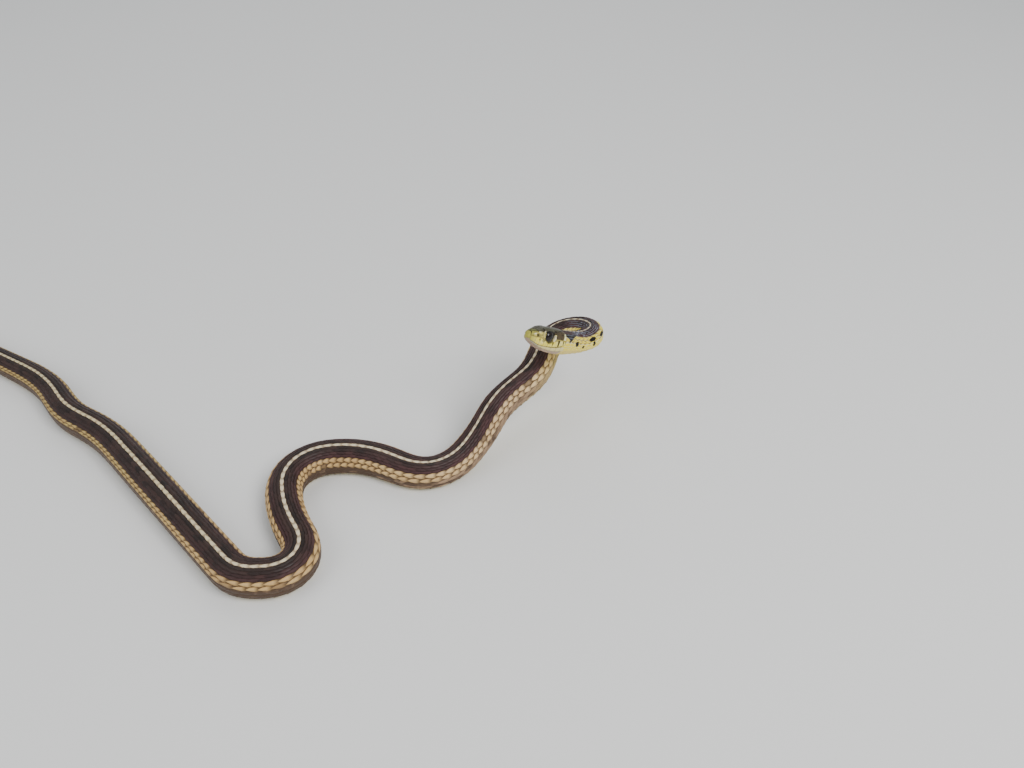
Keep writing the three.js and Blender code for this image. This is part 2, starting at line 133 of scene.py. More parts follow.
@dataclass
class Course:
    """The centre line of the body and the axes of its sections, in millimetres."""

    length: float = 752.0
    anchor_at: int = 205
    anchor_point: tuple[float, float] = (115.21, -13.7)
    anchor_heading: float = 348.2
    bends: tuple[Turn, ...] = (
        Turn(39.8, 24.2, 109.7),
        Turn(55.4, 33.7, 102.5),
        Turn(85.8, 36.2, -62.8),
        Turn(102.1, 23.7, 39.5),
        Turn(148.7, 34.4, -46.6),
        Turn(165.7, 25.4, -30.2),
        Turn(184, 50, 43),
        Turn(218, 41, 76),
        Turn(234, 58, 34),
        Turn(280, 53, -59),
        Turn(281, 34, -79),
        Turn(317, 18, -33),
        Turn(425, 47, 18),
        Turn(458, 36, -29),
        Turn(473, 57, 26),
        Turn(562, 150, 105),
    )
    head_climb: float = 31.3
    climbs: tuple[Turn, ...] = (
        Turn(30, 27, -49.4),
        Turn(39.7, 13.9, 37.7),
        Turn(118.4, 14.6, 26.8),
        Turn(122.5, 48.9, -46.4),
    )
    head_lean: float = 15.0
    leans: tuple[Turn, ...] = (Turn(26, 14, -7), Turn(52, 22, -24), Turn(82, 24, 6), Turn(125, 50, 10))

    def __post_init__(self) -> None:
        """Adds up the course in steps of a millimetre from the anchor."""
        s = np.arange(0.0, self.length + 0.5)
        heading = self.turned(0.0, self.bends, s)
        heading = np.radians(self.anchor_heading - heading[self.anchor_at] + heading)
        climb = np.radians(self.turned(self.head_climb, self.climbs, s))
        level = np.cos(climb)
        step = -np.stack([level * np.cos(heading), level * np.sin(heading), np.sin(climb)], axis=-1)
        halves = np.cumsum((step[1:] + step[:-1]) / 2.0, axis=0)
        self.points = np.vstack([np.zeros(3), halves])
        self.points[:, :2] += np.array(self.anchor_point) - self.points[self.anchor_at, :2]

    @staticmethod
    def turned(start: float, turns: Sequence[Turn], s: Array) -> Array:
        """An angle that starts at the snout and changes by the turns passed before s."""
        return start + sum(turn.degrees * smooth((s - turn.at) / turn.over) for turn in turns)

    def settle(self, heights: Array, floor_at: int) -> None:
        """Lifts the course so that the body rests on the floor, and works out the axes of its sections.

        Args:
            heights: Height of the centre above the floor where the body lies, for each millimetre.
            floor_at: A distance at which the body lies on the floor.
        """
        p = self.points
        p[:, 2] += heights - p[floor_at, 2]
        ahead = np.vstack([p[:1], p[:-1]])
        behind = np.vstack([p[1:], p[-1:]])
        self.front = unit(ahead - behind)
        across = unit(np.cross([0.0, 0.0, 1.0], self.front))
        upright = np.cross(self.front, across)
        s = np.arange(len(p), dtype=float)
        lean = np.radians(self.turned(self.head_lean, self.leans, s))[:, None]
        self.left = across * np.cos(lean) + upright * np.sin(lean)
        self.up = upright * np.cos(lean) - across * np.sin(lean)

    def place(self, s: Array) -> tuple[Array, Array, Array, Array]:
        """Centre, front, left and up of the sections at the distances s."""
        t = np.clip(s, 0.0, self.length - 1e-3)
        k = np.floor(t).astype(int)
        share = (t - k)[..., None]
        rows = (self.points, self.front, self.left, self.up)
        return tuple(row[k] * (1.0 - share) + row[k + 1] * share for row in rows)


@dataclass
class Form:
    """The outer surface of the body around its course."""

    course: Course = field(default_factory=Course)
    half_widths: Table = Table(
        ((2.3, 2.95), (5.4, 4.05), (8.6, 4.85), (11.3, 5.2), (14.5, 5.6), (18.4, 6.3), (21, 6.45))
        + ((24.3, 6.1), (28, 5.5), (33, 5.3), (40, 5.5), (45, 5.7), (60, 6.7), (76, 7.2), (100, 7.6))
        + ((130, 7.4), (165, 7.5), (195, 8.2), (230, 8.4), (400, 8.4), (480, 7.7), (560, 6.2))
        + ((590, 5.4), (640, 4.4), (700, 2.6), (745, 1.0), (752, 0.7))
    )
    head_heights: Table = Table(
        ((2.3, 2.6), (5.4, 3.6), (8.6, 4.35), (11.3, 4.65), (15, 4.65), (24, 4.45), (28, 4.55), (40, 5.06))
    )
    head_depths: Table = Table(
        ((2.3, 3.0), (5.4, 4.4), (8.6, 5.45), (13, 6.55), (18.4, 7.25), (24, 7.15), (31, 6.3), (40, 5.06))
    )
    back_squareness: Table = Table(((2.3, 2.4), (9, 2.9), (18, 2.7), (27, 2.3), (38, 2.15)))
    belly_squareness: float = 2.7
    height_share: float = 0.92
    neck_from: float = 40.0
    snout_rounding: float = 2.9
    floor_sink: float = 0.35
    floor_at: int = 205
    least_distance: float = 0.03
    tip_margin: float = 0.01
    probe: float = 0.04

    def __post_init__(self) -> None:
        """Rests the course on the floor."""
        s = np.arange(len(self.course.points), dtype=float)
        body = self.half_widths.at(np.maximum(s, self.neck_from))
        self.course.settle(self.height_share * body - self.floor_sink, self.floor_at)

    def sizes(self, s: Array) -> tuple[Array, Array, Array]:
        """Half width, height above and depth below the course at the distances s."""
        width = self.half_widths.at(s)
        round_body = self.height_share * width
        nose = 1.0 - np.clip(s / self.snout_rounding, 0.0, 1.0)
        front = np.sqrt(1.0 - nose * nose)
        up = np.where(s < self.neck_from, self.head_heights.at(s), round_body)
        down = np.where(s < self.neck_from, self.head_depths.at(s), round_body)
        return width * front, up * front, down * front

    def bare(self, s: Array, angle: Array) -> Array:
        """Surface points in millimetres; angles run from the back (0) over the left side to the belly."""
        width, up, down = self.sizes(s)
        sin, cos = np.sin(np.radians(angle)), np.cos(np.radians(angle))
        power = 2.0 / np.where(cos > 0.0, self.back_squareness.at(s), self.belly_squareness)
        x = np.sign(sin) * np.abs(sin) ** power * width
        z = np.sign(cos) * np.abs(cos) ** power * np.where(cos > 0.0, up, down)
        centre, _, left, upward = self.course.place(s)
        return centre + left * x[..., None] + upward * z[..., None]

    def surface(self, s: Array | float, angle: Array | float, lift: Array | float = 0.0) -> Array:
        """Points on the body, or a little off it.

        Args:
            s: Distances from the snout, in millimetres.
            angle: Angles around the body, in degrees.
            lift: Heights above the surface, in millimetres.

        Returns:
            Points in metres, none of them under the floor.
        """
        s, angle, lift = np.broadcast_arrays(*(np.asarray(v, float) for v in (s, angle, lift)))
        s = np.clip(s, self.least_distance, self.course.length - self.tip_margin)
        ahead = np.maximum(s - self.probe, self.tip_margin)
        rearward = self.bare(s + self.probe, angle) - self.bare(ahead, angle)
        around = self.bare(s, angle + 1.0) - self.bare(s, angle - 1.0)
        normal = unit(np.cross(around, rearward))
        points = self.bare(s, angle) + normal * lift[..., None]
        points[..., 2] = np.maximum(points[..., 2], 0.0)
        return points * MM


@dataclass(frozen=True)
class Bands:
    """Where the markings lie around the body, as angles from the back.

    on_throat and on_belly are the levels given to the small scales of the throat and to the scutes.
    """

    top: Table = Table(((0, 52), (60, 49), (280, 49), (440, 51), (752, 52)))
    foot: Table = Table(((0, 94), (60, 90), (240, 88), (340, 80), (440, 75), (752, 74)))
    belly: float = 120.0
    on_throat: float = 3.5
    on_belly: float = 4.0

    def edges(self, s: Array) -> tuple[Array, Array, Array, Array]:
        """Angles of the back's middle, the pale side band's top and foot, and the belly's edge."""
        zero = np.zeros_like(s)
        return zero, self.top.at(s), self.foot.at(s), zero + self.belly

    def level(self, s: Array, angle: Array) -> Array:
        """How far round the body an angle lies.

        Args:
            s: Distances from the snout, in millimetres.
            angle: Angles from the back, in degrees, on either side.

        Returns:
            0 on the back, 1 at the top of the side band, 2 at its foot and 3 where the belly starts.
        """
        s, angle = np.broadcast_arrays(s, np.abs(angle))
        start, top, foot, belly = self.edges(s)
        upper = (angle - start) / (top - start)
        middle = 1.0 + (angle - top) / (foot - top)
        lower = 2.0 + (angle - foot) / (belly - foot)
        return np.where(angle < top, upper, np.where(angle < foot, middle, lower))


@dataclass(frozen=True)
class BakeSheet:
    """An unwrap of the skin: the body cut across into strips of equal length, one above the other."""

    length: float
    strips: int = 4
    margin: float = 0.01
    patch: float = 0.003
    half_turn: float = 190.0

    def spot(self, s: Array, angle: Array, strip_of: Array | None = None) -> Array:
        """Places on the sheet.

        Args:
            s: Distances from the snout, in millimetres.
            angle: Angles around the body, at most half_turn to either side.
            strip_of: Distances that choose the strip, where that isn't s itself.

        Returns:
            Pairs of coordinates from 0 to 1.
        """
        run = s / self.length * self.strips
        chosen = run if strip_of is None else strip_of / self.length * self.strips
        strip = np.clip(np.floor(chosen), 0, self.strips - 1)
        u = self.margin + (1.0 - 2.0 * self.margin) * (run - strip)
        v = (strip + 0.5 + (0.5 - self.margin) * angle / self.half_turn) / self.strips
        return np.stack([u, v], axis=-1)


@dataclass
class Shape:
    """Vertices, faces, bake map and values per vertex, gathered before they become one object."""

    points: list[Array] = field(default_factory=list)
    faces: list[Array] = field(default_factory=list)
    corners: list[Array] = field(default_factory=list)
    values: dict[str, list[Array]] = field(default_factory=dict)
    count: int = 0

    def add(self, points: Array, faces: Array, corners: Array, values: dict[str, Array]) -> None:
        """Adds one batch of mesh.

        Args:
            points: Vertices, in metres.
            faces: Vertex numbers, three or four a row, counted from this batch's first vertex.
            corners: A place on the bake sheet for each corner of each face.
            values: Named values, one for each vertex.
        """
        points = points.reshape(-1, 3)
        self.points.append(points)
        self.faces.append(faces + self.count)
        self.corners.append(corners.reshape(-1, 2))
        for name, value in values.items():
            self.values.setdefault(name, []).append(value.reshape(-1))
        self.count += len(points)

    def build(self, name: str, material: bpy.types.Material) -> bpy.types.Object:
        """Makes the object, smooth shaded and in the scene.

        Args:
            name: Name of the piece.
            material: Its finish.

        Returns:
            The new object.
        """
        mesh = bpy.data.meshes.new(name)
        points = np.concatenate(self.points)
        mesh.vertices.add(len(points))
        mesh.vertices.foreach_set("co", points.ravel())
        loops = np.concatenate([faces.ravel() for faces in self.faces])
        sides = np.concatenate([np.full(len(faces), faces.shape[1]) for faces in self.faces])
        mesh.loops.add(len(loops))
        mesh.loops.foreach_set("vertex_index", loops)
        mesh.polygons.add(len(sides))
        mesh.polygons.foreach_set("loop_start", np.concatenate([[0], np.cumsum(sides)[:-1]]))
        mesh.polygons.foreach_set("use_smooth", np.ones(len(sides), dtype=bool))
        mesh.uv_layers.new(name="OFBake").data.foreach_set("uv", np.concatenate(self.corners).ravel())
        for key, parts in self.values.items():
            attribute = mesh.attributes.new(key, "FLOAT", "POINT")
            attribute.data.foreach_set("value", np.concatenate(parts))
        mesh.update(calc_edges=True)
        mesh.validate()
        mesh.materials.append(material)
        piece = bpy.data.objects.new(name, mesh)
        bpy.context.scene.collection.objects.link(piece)
        return piece


def grid_faces(rows: int, columns: int, patches: int = 1) -> Array:
    """Quads of patches of rows by columns vertices, numbered row by row and patch by patch."""
    row, column = np.meshgrid(np.arange(rows - 1), np.arange(columns - 1), indexing="ij")
    first = (row * columns + column).reshape(-1)
    one = np.stack([first, first + 1, first + columns + 1, first + columns], axis=-1)
    start = np.arange(patches)[:, None, None] * rows * columns
    return (one[None] + start).reshape(-1, 4)


class Signal:
    """A shader socket that takes part in arithmetic."""

    def __init__(self, graph: "Graph", socket: bpy.types.NodeSocket) -> None:
        """Keeps the socket and the graph that it belongs to."""
        self.graph = graph
        self.socket = socket

    def __add__(self, other: "Signal | float") -> "Signal":
        """The sum."""
        return self.graph.math("ADD", self, other)

    def __radd__(self, other: float) -> "Signal":
        """The sum with a number on the left."""
        return self.graph.math("ADD", other, self)

    def __sub__(self, other: "Signal | float") -> "Signal":
        """The difference."""
        return self.graph.math("SUBTRACT", self, other)

    def __rsub__(self, other: float) -> "Signal":
        """The difference from a number."""
        return self.graph.math("SUBTRACT", other, self)

    def __mul__(self, other: "Signal | float") -> "Signal":
        """The product."""
        return self.graph.math("MULTIPLY", self, other)

    def __rmul__(self, other: float) -> "Signal":
        """The product with a number on the left."""
        return self.graph.math("MULTIPLY", other, self)

    def __truediv__(self, other: "Signal | float") -> "Signal":
        """The quotient."""
        return self.graph.math("DIVIDE", self, other)

    def __abs__(self) -> "Signal":
        """The value without its sign."""
        return self.graph.math("ABSOLUTE", self, 0.0)

    def rise(self, low: float, high: float) -> "Signal":
        """Smoothly from 0 at low to 1 at high."""
        inputs = {"Value": self, "From Min": low, "From Max": high}
        node = self.graph.node("ShaderNodeMapRange", {"interpolation_type": "SMOOTHSTEP"}, inputs)
        return Signal(self.graph, node.outputs["Result"])

    def within(self, low: float, high: float, edge: float) -> "Signal":
        """1 between low and high, falling to 0 over an edge on both sides."""
        return self.rise(low - edge, low + edge) * (1.0 - self.rise(high - edge, high + edge))


class Graph:
    """The node tree of one material."""

    def __init__(self, name: str) -> None:
        """Starts an empty node tree with an output."""
        self.material = bpy.data.materials.new(name)
        self.material.use_nodes = True
        self.tree = self.material.node_tree
        self.tree.nodes.clear()

    def node(
        self,
        kind: str,
        settings: dict[str, object] | None = None,
        inputs: dict[str | int, object] | None = None,
    ) -> bpy.types.Node:
        """Adds a node.

        Args:
            kind: Its type.
            settings: Properties to set.
            inputs: Values or signals for its inputs, by name or number.

        Returns:
            The new node.
        """
        made = self.tree.nodes.new(kind)
        for key, value in (settings or {}).items():
            setattr(made, key, value)
        for key, value in (inputs or {}).items():
            if isinstance(value, Signal):
                self.tree.links.new(value.socket, made.inputs[key])
            else:
                made.inputs[key].default_value = value
        return made

    def math(self, operation: str, a: Signal | float, b: Signal | float) -> Signal:
        """The result of one arithmetic operation."""
        return Signal(self, self.node("ShaderNodeMath", {"operation": operation}, {0: a, 1: b}).outputs[0])

    def value(self, name: str) -> Signal:
        """A named value that the mesh carries."""
        node = self.node("ShaderNodeAttribute", {"attribute_name": name})
        return Signal(self, node.outputs["Fac"])

    def mix(self, share: Signal | float, a: Signal | Colour, b: Signal | Colour) -> Signal:
        """A colour that goes from a to b as the share goes from 0 to 1."""
        colours = {key: v if isinstance(v, Signal) else (*v, 1.0) for key, v in ((6, a), (7, b))}
        node = self.node("ShaderNodeMix", {"data_type": "RGBA"}, {0: share, **colours})
        return Signal(self, node.outputs[2])

    def noise(self, size: float, detail: float = 2.0) -> Signal:
        """Noise with features of about that size in metres, from 0 to 1."""
        where = Signal(self, self.node("ShaderNodeTexCoord").outputs["Object"])
        inputs = {"Vector": where, "Scale": 1.0 / size, "Detail": detail}
        return Signal(self, self.node("ShaderNodeTexNoise", None, inputs).outputs["Fac"])

    def spread(self, of: Signal) -> Signal:
        """An evenly spread number for each value of a signal, from 0 to 1."""
        node = self.node("ShaderNodeTexWhiteNoise", {"noise_dimensions": "1D"}, {"W": of})
        return Signal(self, node.outputs["Value"])

    def bump(self, height: Signal, distance: float, strength: float) -> Signal:
        """A normal that follows small heights."""
        inputs = {"Height": height, "Distance": distance, "Strength": strength}
        return Signal(self, self.node("ShaderNodeBump", None, inputs).outputs["Normal"])

    def surface(
        self, colour: Signal, roughness: Signal, normal: Signal | None, constants: dict[str, float]
    ) -> bpy.types.Material:
        """Closes the tree with a surface shader.

        Args:
            colour: Base colour.
            roughness: Roughness from place to place.
            normal: Normal with its bumps, if any.
            constants: Numbers that are the same all over, by input name.

        Returns:
            The finished material.
        """
        inputs = {"Base Color": colour, "Roughness": roughness, **constants}
        if normal is not None:
            inputs["Normal"] = normal
        shader = self.node("ShaderNodeBsdfPrincipled", None, inputs)
        self.node("ShaderNodeOutputMaterial", None, {"Surface": Signal(self, shader.outputs[0])})
        return self.material


@dataclass(frozen=True)
class Nape:
    """Dark wedge on each side behind the head: its tip, and how steeply it rises before and behind it."""

    at: float = 24.8
    low: float = 94.0
    top: float = 44.0
    top_soft: float = 4.0
    before: float = 7.5
    behind: float = 8.5
    soft: float = 2.0
    ragged: float = 8.0
    net: float = 0.5
    net_ends: Span = (28.0, 30.0)


@dataclass(frozen=True)
class Spot:
    """A round mark on both sides: distance, angle from the back, half length and half width in degrees."""

    at: float
    around: float
    long: float
    wide: float

    def off(self, run: Signal, turn: Signal, ragged: Signal) -> Signal:
        """0 in the mark's middle and about 1 at its ragged edge."""
        along, across = (run - self.at) / self.long, (turn - self.around) / self.wide
        return along * along + across * across + ragged


NAPE = Nape()
NECK_SPOTS = (
    Spot(31.2, 92.0, 1.3, 9.0),
    Spot(36.2, 100.0, 0.8, 7.0),
    Spot(42.0, 70.0, 2.0, 12.0),
    Spot(43.2, 96.0, 0.8, 10.0),
    Spot(48.2, 78.0, 1.8, 11.0),
    Spot(55.0, 92.0, 1.0, 8.0),
    Spot(61.0, 74.0, 1.7, 10.0),
    Spot(68.0, 92.0, 1.2, 8.0),
    Spot(75.0, 80.0, 1.5, 9.0),
)


@dataclass(frozen=True)
class BodyFinish:
    """Markings of the back, sides and belly, shared by the skin, the scales and the scutes, with painted
    shade at the scale roots and near the floor and a painted sheen on the forebody.

    A span is a pair of distances from the snout, between which the thing that it names comes in.
    """

    field_dark: Colour = (0.017, 0.011, 0.009)
    field_brown: Colour = (0.044, 0.024, 0.019)
    # Plum: the real maroon tint of the back toward the side band, and also a painted sheen on the
    # forebody's scales.
    field_plum_and_sheen: Colour = (0.085, 0.034, 0.036)
    back_stripe: Colour = (0.72, 0.61, 0.42)
    side_cream: Colour = (0.80, 0.58, 0.32)
    side_gold: Colour = (0.66, 0.44, 0.18)
    side_olive: Colour = (0.46, 0.37, 0.12)
    side_tan: Colour = (0.42, 0.24, 0.10)
    side_yellow: Colour = (0.84, 0.66, 0.05)
    side_pale: Colour = (0.85, 0.78, 0.42)
    # Root colours: painted shade in the gaps between the overlapping scales of the side band.
    side_root_shade: Colour = (0.060, 0.032, 0.014)
    yellow_root_shade: Colour = (0.34, 0.22, 0.03)
    low_tan: Colour = (0.34, 0.22, 0.13)
    # Low brown: a real brown, also used as painted shade on the lowest rows and the scute ends where the
    # body lies on the floor.
    low_brown_and_shade: Colour = (0.085, 0.050, 0.030)
    belly_cream: Colour = (0.58, 0.52, 0.26)
    belly_yellow: Colour = (0.78, 0.64, 0.13)
    fleck: Colour = (0.40, 0.43, 0.52)
    black: Colour = (0.010, 0.007, 0.006)
    edge: float = 0.03
    stripe_half: float = 2.5
    stripe_fore: float = 1.9
    stripe_rear: float = 0.4
    stripe_starts: Span = (22.0, 26.0)
    stripe_widens: Span = (66.0, 96.0)
    stripe_widens_again: Span = (150.0, 200.0)
    stripe_dulls: Span = (280.0, 420.0)
    yellow_ends: Span = (50.0, 115.0)
    gold: Span = (120.0, 220.0)
    olive: Span = (320.0, 430.0)
    # Painted shade: the lowest rows darken over this span, where the body comes down onto the floor.
    rear_floor_shade: Span = (130.0, 240.0)
    # Painted sheen: the plum on the forebody's scales ends over this span.
    fore_sheen_ends: Span = (110.0, 260.0)
    plum_weakens: Span = (280.0, 380.0)
    belly_pales: Span = (50.0, 150.0)
    # The scute ends turn brown over this span, partly real colour and partly painted shade near the floor.
    belly_end_brown_and_shade: Span = (150.0, 260.0)
    belly_spots: Span = (60.0, 100.0)
    belly_spot_angles: Span = (126.0, 136.0)
    spot_grain: float = 0.0009
    patch_grain: float = 0.006
    net_grain: float = 0.002
    stripe_grain: float = 0.0013
    notch_grain: float = 0.003
    side_grain: float = 0.0015
    low_grain: float = 0.0025
    belly_grain: float = 0.004

    def colour(self, g: Graph) -> Signal:
        """The markings as one colour, from distance, angle, level, chance, rim and root."""
        run, chance, rim = g.value("run"), g.value("chance"), g.value("rim")
        row, turn = g.value("row"), abs(g.value("turn"))
        root = g.value("root")
        neck = 1.0 - run.rise(*self.yellow_ends)
        side = self.side(g, run, rim, chance, neck)
        # Painted shade: the roots of the side band's scales are darkened where the gaps between the scales
        # lie.
        side = g.mix(root * 0.9, side, g.mix(neck, self.side_root_shade, self.yellow_root_shade))
        colour = g.mix(self.past(row, 1.0), self.back(g, run, turn, rim, chance, row), side)
        colour = g.mix(self.past(row, 2.0), colour, self.low(g, run, rim, chance, neck))
        colour = g.mix(self.past(row, 3.0), colour, self.belly(g))
        return self.spotted(g, colour)

    def past(self, row: Signal, limit: float) -> Signal:
        """1 beyond a limit of the bands."""
        return row.rise(limit - self.edge, limit + self.edge)

    def spotted(self, g: Graph, colour: Signal) -> Signal:
        """The black wedge behind the head and the black spots of the neck, over a colour."""
        run, turn = g.value("run"), abs(g.value("turn"))
        ragged = g.noise(self.spot_grain, 1.0) - 0.5
        foot = turn + ragged * NAPE.ragged
        before = (run - NAPE.at) * NAPE.before + NAPE.low - foot
        behind = (NAPE.at - run) * NAPE.behind + NAPE.low - foot
        black = before.rise(-NAPE.soft, NAPE.soft) * behind.rise(-NAPE.soft, NAPE.soft)
        black = black * turn.rise(NAPE.top - NAPE.top_soft, NAPE.top + NAPE.top_soft)
        rough = ragged * 1.4
        for spot in NECK_SPOTS:
            black = g.math("MAXIMUM", black, 1.0 - spot.off(run, turn, rough).rise(0.8, 1.1))
        net = g.value("rim").rise(0.3, 0.9) * (1.0 - run.rise(*NAPE.net_ends)) * NAPE.net
        return g.mix(black, colour, g.mix(net, self.black, self.fleck))

    def back(self, g: Graph, run: Signal, turn: Signal, rim: Signal, chance: Signal, row: Signal) -> Signal:
        """The dark back with its pale line, maroon toward the side band with a painted sheen of plum on the
        forebody, and pale blue scale edges on the stretched neck.
        """
        dark = g.mix(chance, self.field_dark, self.field_brown)
        plum = row.rise(0.25, 0.9) * (0.55 - run.rise(*self.plum_weakens) * 0.35)
        # Painted sheen: plum on random scales of the forebody.
        plum = plum + (1.0 - run.rise(*self.fore_sheen_ends)) * 0.35 * chance
        dark = g.mix(plum * (1.0 - rim * 0.6), dark, self.field_plum_and_sheen)
        dark = g.mix(g.noise(self.patch_grain, 1.0).rise(0.5, 0.66) * 0.4, dark, self.field_dark)
        net = rim.rise(0.35, 0.9) * g.noise(self.net_grain, 1.0).rise(0.35, 0.6)
        net = net * (run.within(27.0, 41.0, 5.0) * 0.85 + run.within(44.0, 66.0, 6.0) * 0.3)
        dark = g.mix(net, dark, self.fleck)
        half = self.stripe_half + self.stripe_fore * run.rise(*self.stripe_widens)
        half = half + self.stripe_rear * run.rise(*self.stripe_widens_again)
        ragged = (turn + (g.noise(self.stripe_grain, 1.0) - 0.5) * 4.0) / half
        stripe = (1.0 - ragged.rise(0.85, 1.15)) * run.rise(*self.stripe_starts)
        root = g.value("root")
        pale = g.mix(run.rise(*self.stripe_dulls) * 0.35, self.back_stripe, self.side_olive)
        # Tan at the scale rims, and tan at the scale roots as painted shade.
        pale = g.mix(rim.rise(0.4, 1.0) * 0.6 + root * 0.4, pale, self.side_tan)
        return g.mix(stripe * (1.0 - root * g.noise(self.notch_grain, 1.0)), dark, pale)

    def side(self, g: Graph, run: Signal, rim: Signal, chance: Signal, neck: Signal) -> Signal:
        """The pale side band: cream to olive scales with tan edges, yellow on the neck."""
        tone = g.mix(run.rise(*self.gold), self.side_cream, self.side_gold)
        tone = g.mix(run.rise(*self.olive) * 0.7, tone, self.side_olive)
        cream = g.mix(chance * 0.35 + g.noise(self.side_grain, 2.0) * 0.35, tone, self.side_tan)
        yellow = g.mix(rim.rise(0.2, 0.8), self.side_yellow, self.side_pale)
        pale = g.mix(neck, cream, yellow)
        edged = g.mix(rim.rise(0.3, 1.0) * (1.0 - neck) * 0.55, pale, self.side_tan)
        return g.mix(chance.rise(0.95, 0.97) * (1.0 - neck) * 0.7, edged, self.low_brown_and_shade)

    def low(self, g: Graph, run: Signal, rim: Signal, chance: Signal, neck: Signal) -> Signal:
        """The lowest rows: tan to brown in real blotches, darkened toward the rear by painted shade where
        the body lies on the floor, yellow on the neck.
        """
        # The rear term is painted shade near the floor; chance and noise give real blotches.
        blotched_and_shaded = chance * 0.5 + g.noise(self.low_grain, 2.0) * 0.5 + run.rise(*self.rear_floor_shade) * 0.5
        brown = g.mix(blotched_and_shaded.rise(0.45, 0.85), self.low_tan, self.low_brown_and_shade)
        yellow = g.mix(rim.rise(0.3, 0.9), self.side_yellow, self.side_pale)
        return g.mix(rim.rise(0.4, 1.0) * (1.0 - neck) * 0.6, g.mix(neck, brown, yellow), self.low_brown_and_shade)

    def belly(self, g: Graph) -> Signal:
        """The scutes: pale, with ends turning brown toward the rear, partly real colour and partly painted
        shade where the body lies on the floor, and a dark spot near each end.
        """
        run, chance = g.value("run"), g.value("chance")
        turn = abs(g.value("turn"))
        pale = g.mix(run.rise(*self.belly_pales), self.belly_yellow, self.belly_cream)
        pale = g.mix(g.noise(self.belly_grain) * 0.3, pale, self.side_cream)
        ends = 1.0 - turn.rise(122.0, 136.0)
        # Brown ends toward the rear: partly real colour, partly painted shade near the floor.
        pale = g.mix(ends * run.rise(*self.belly_end_brown_and_shade) * 0.8, pale, self.low_brown_and_shade)
        chosen = g.spread(chance).rise(0.35, 0.4) * run.rise(*self.belly_spots)
        edged = g.mix(g.value("rim") * 0.35, pale, self.low_tan)
        return g.mix(turn.within(*self.belly_spot_angles, 3.0) * chosen, edged, self.black)


@dataclass(frozen=True)
class ScaleFinish:
    """Satin horn of the scales and scutes."""

    markings: BodyFinish = BodyFinish()
    roughness: float = 0.46
    grain: float = 0.0004

    def material(self, name: str) -> bpy.types.Material:
        """The finished material."""
        g = Graph(name)
        fine = g.noise(self.grain, 3.0)
        roughness = self.roughness + (fine - 0.5) * 0.2
        bump = g.bump(fine, 0.00003, 0.5)
        return g.surface(self.markings.colour(g), roughness, bump, {"Specular IOR Level": 0.26})


@dataclass(frozen=True)
class SkinFinish:
    """Thin skin that shows between the scales, pale blue where the neck is stretched."""

    markings: BodyFinish = BodyFinish()
    yellow_ends: Span = (50.0, 100.0)
    head_ends: Span = (20.6, 21.4)
    grain: float = 0.0005

    def material(self, name: str) -> bpy.types.Material:
        """The finished material."""
        g = Graph(name)
        run, turn, row = g.value("run"), abs(g.value("turn")), g.value("row")
        marks = self.markings
        bare = g.mix(row.rise(1.0, 1.1), marks.black, marks.low_brown_and_shade)
        neck = 1.0 - run.rise(*self.yellow_ends)
        bare = g.mix(row.rise(1.0, 1.1) * neck, bare, marks.side_pale)
        fleck = run.within(30.0, 62.0, 6.0) * (1.0 - row.rise(0.95, 1.0)) * turn.rise(4.0, 8.0)
        bare = g.mix(fleck * 0.8, bare, marks.fleck)
        bare = g.mix(row.rise(3.0, 3.1), bare, marks.belly(g))
        bare = marks.spotted(g, bare)
        colour = g.mix(1.0 - run.rise(*self.head_ends), bare, self.head(g, run, turn))
        fine = g.noise(self.grain, 3.0)
        bump = g.bump(fine, 0.00004, 0.6)
        return g.surface(colour, 0.5 + (fine - 0.5) * 0.2, bump, {"Specular IOR Level": 0.4})

    def head(self, g: Graph, run: Signal, turn: Signal) -> Signal:
        """The skin in the seams of the head shields, and painted shade in the mouth crease and inside the
        nostril.
        """
        head = HeadFinish()
        on_side = turn.rise(50.0, 56.0) * (1.0 - run.rise(7.0, 9.0))
        colour = g.mix(on_side, head.seam, head.cheek_shade)
        colour = g.mix(turn.rise(84.0, 90.0), colour, head.lip_shade)
        colour = g.mix(turn.rise(118.0, 124.0), colour, head.chin_shade)
        colour = g.mix(head.below_lips(run, turn) * 0.9, colour, head.chin_pink)
        colour = head.marked(g, colour)
        # Painted shade in the mouth crease and inside the nostril.
        return g.mix(g.value("mouth"), colour, head.mouth)


# The first three are painted highlights along the canthus ridge before the eye; the last is the real pale
# strip behind the eye.
PALE_AND_HIGHLIGHT_MARKS = (
    Spot(2.5, 63.0, 0.6, 6.0),
    Spot(4.9, 53.0, 0.9, 5.0),
    Spot(7.4, 55.0, 0.5, 6.0),
    Spot(13.4, 84.0, 1.0, 12.0),
)
OLIVE_MARKS = (
    Spot(3.7, 77.0, 1.0, 15.0),
    Spot(5.4, 78.0, 0.6, 9.0),
    Spot(6.7, 99.0, 0.7, 7.0),
    Spot(4.8, 98.0, 0.6, 6.0),
    Spot(1.4, 78.0, 0.5, 8.0),
)
# Dark ring round the eye: partly the real dark edges of the shields round it, partly painted shadow under
# the brow.
EYE_RIM_AND_BROW_SHADOW = Spot(EYE_AT, 78.0, 3.1, 30.0)


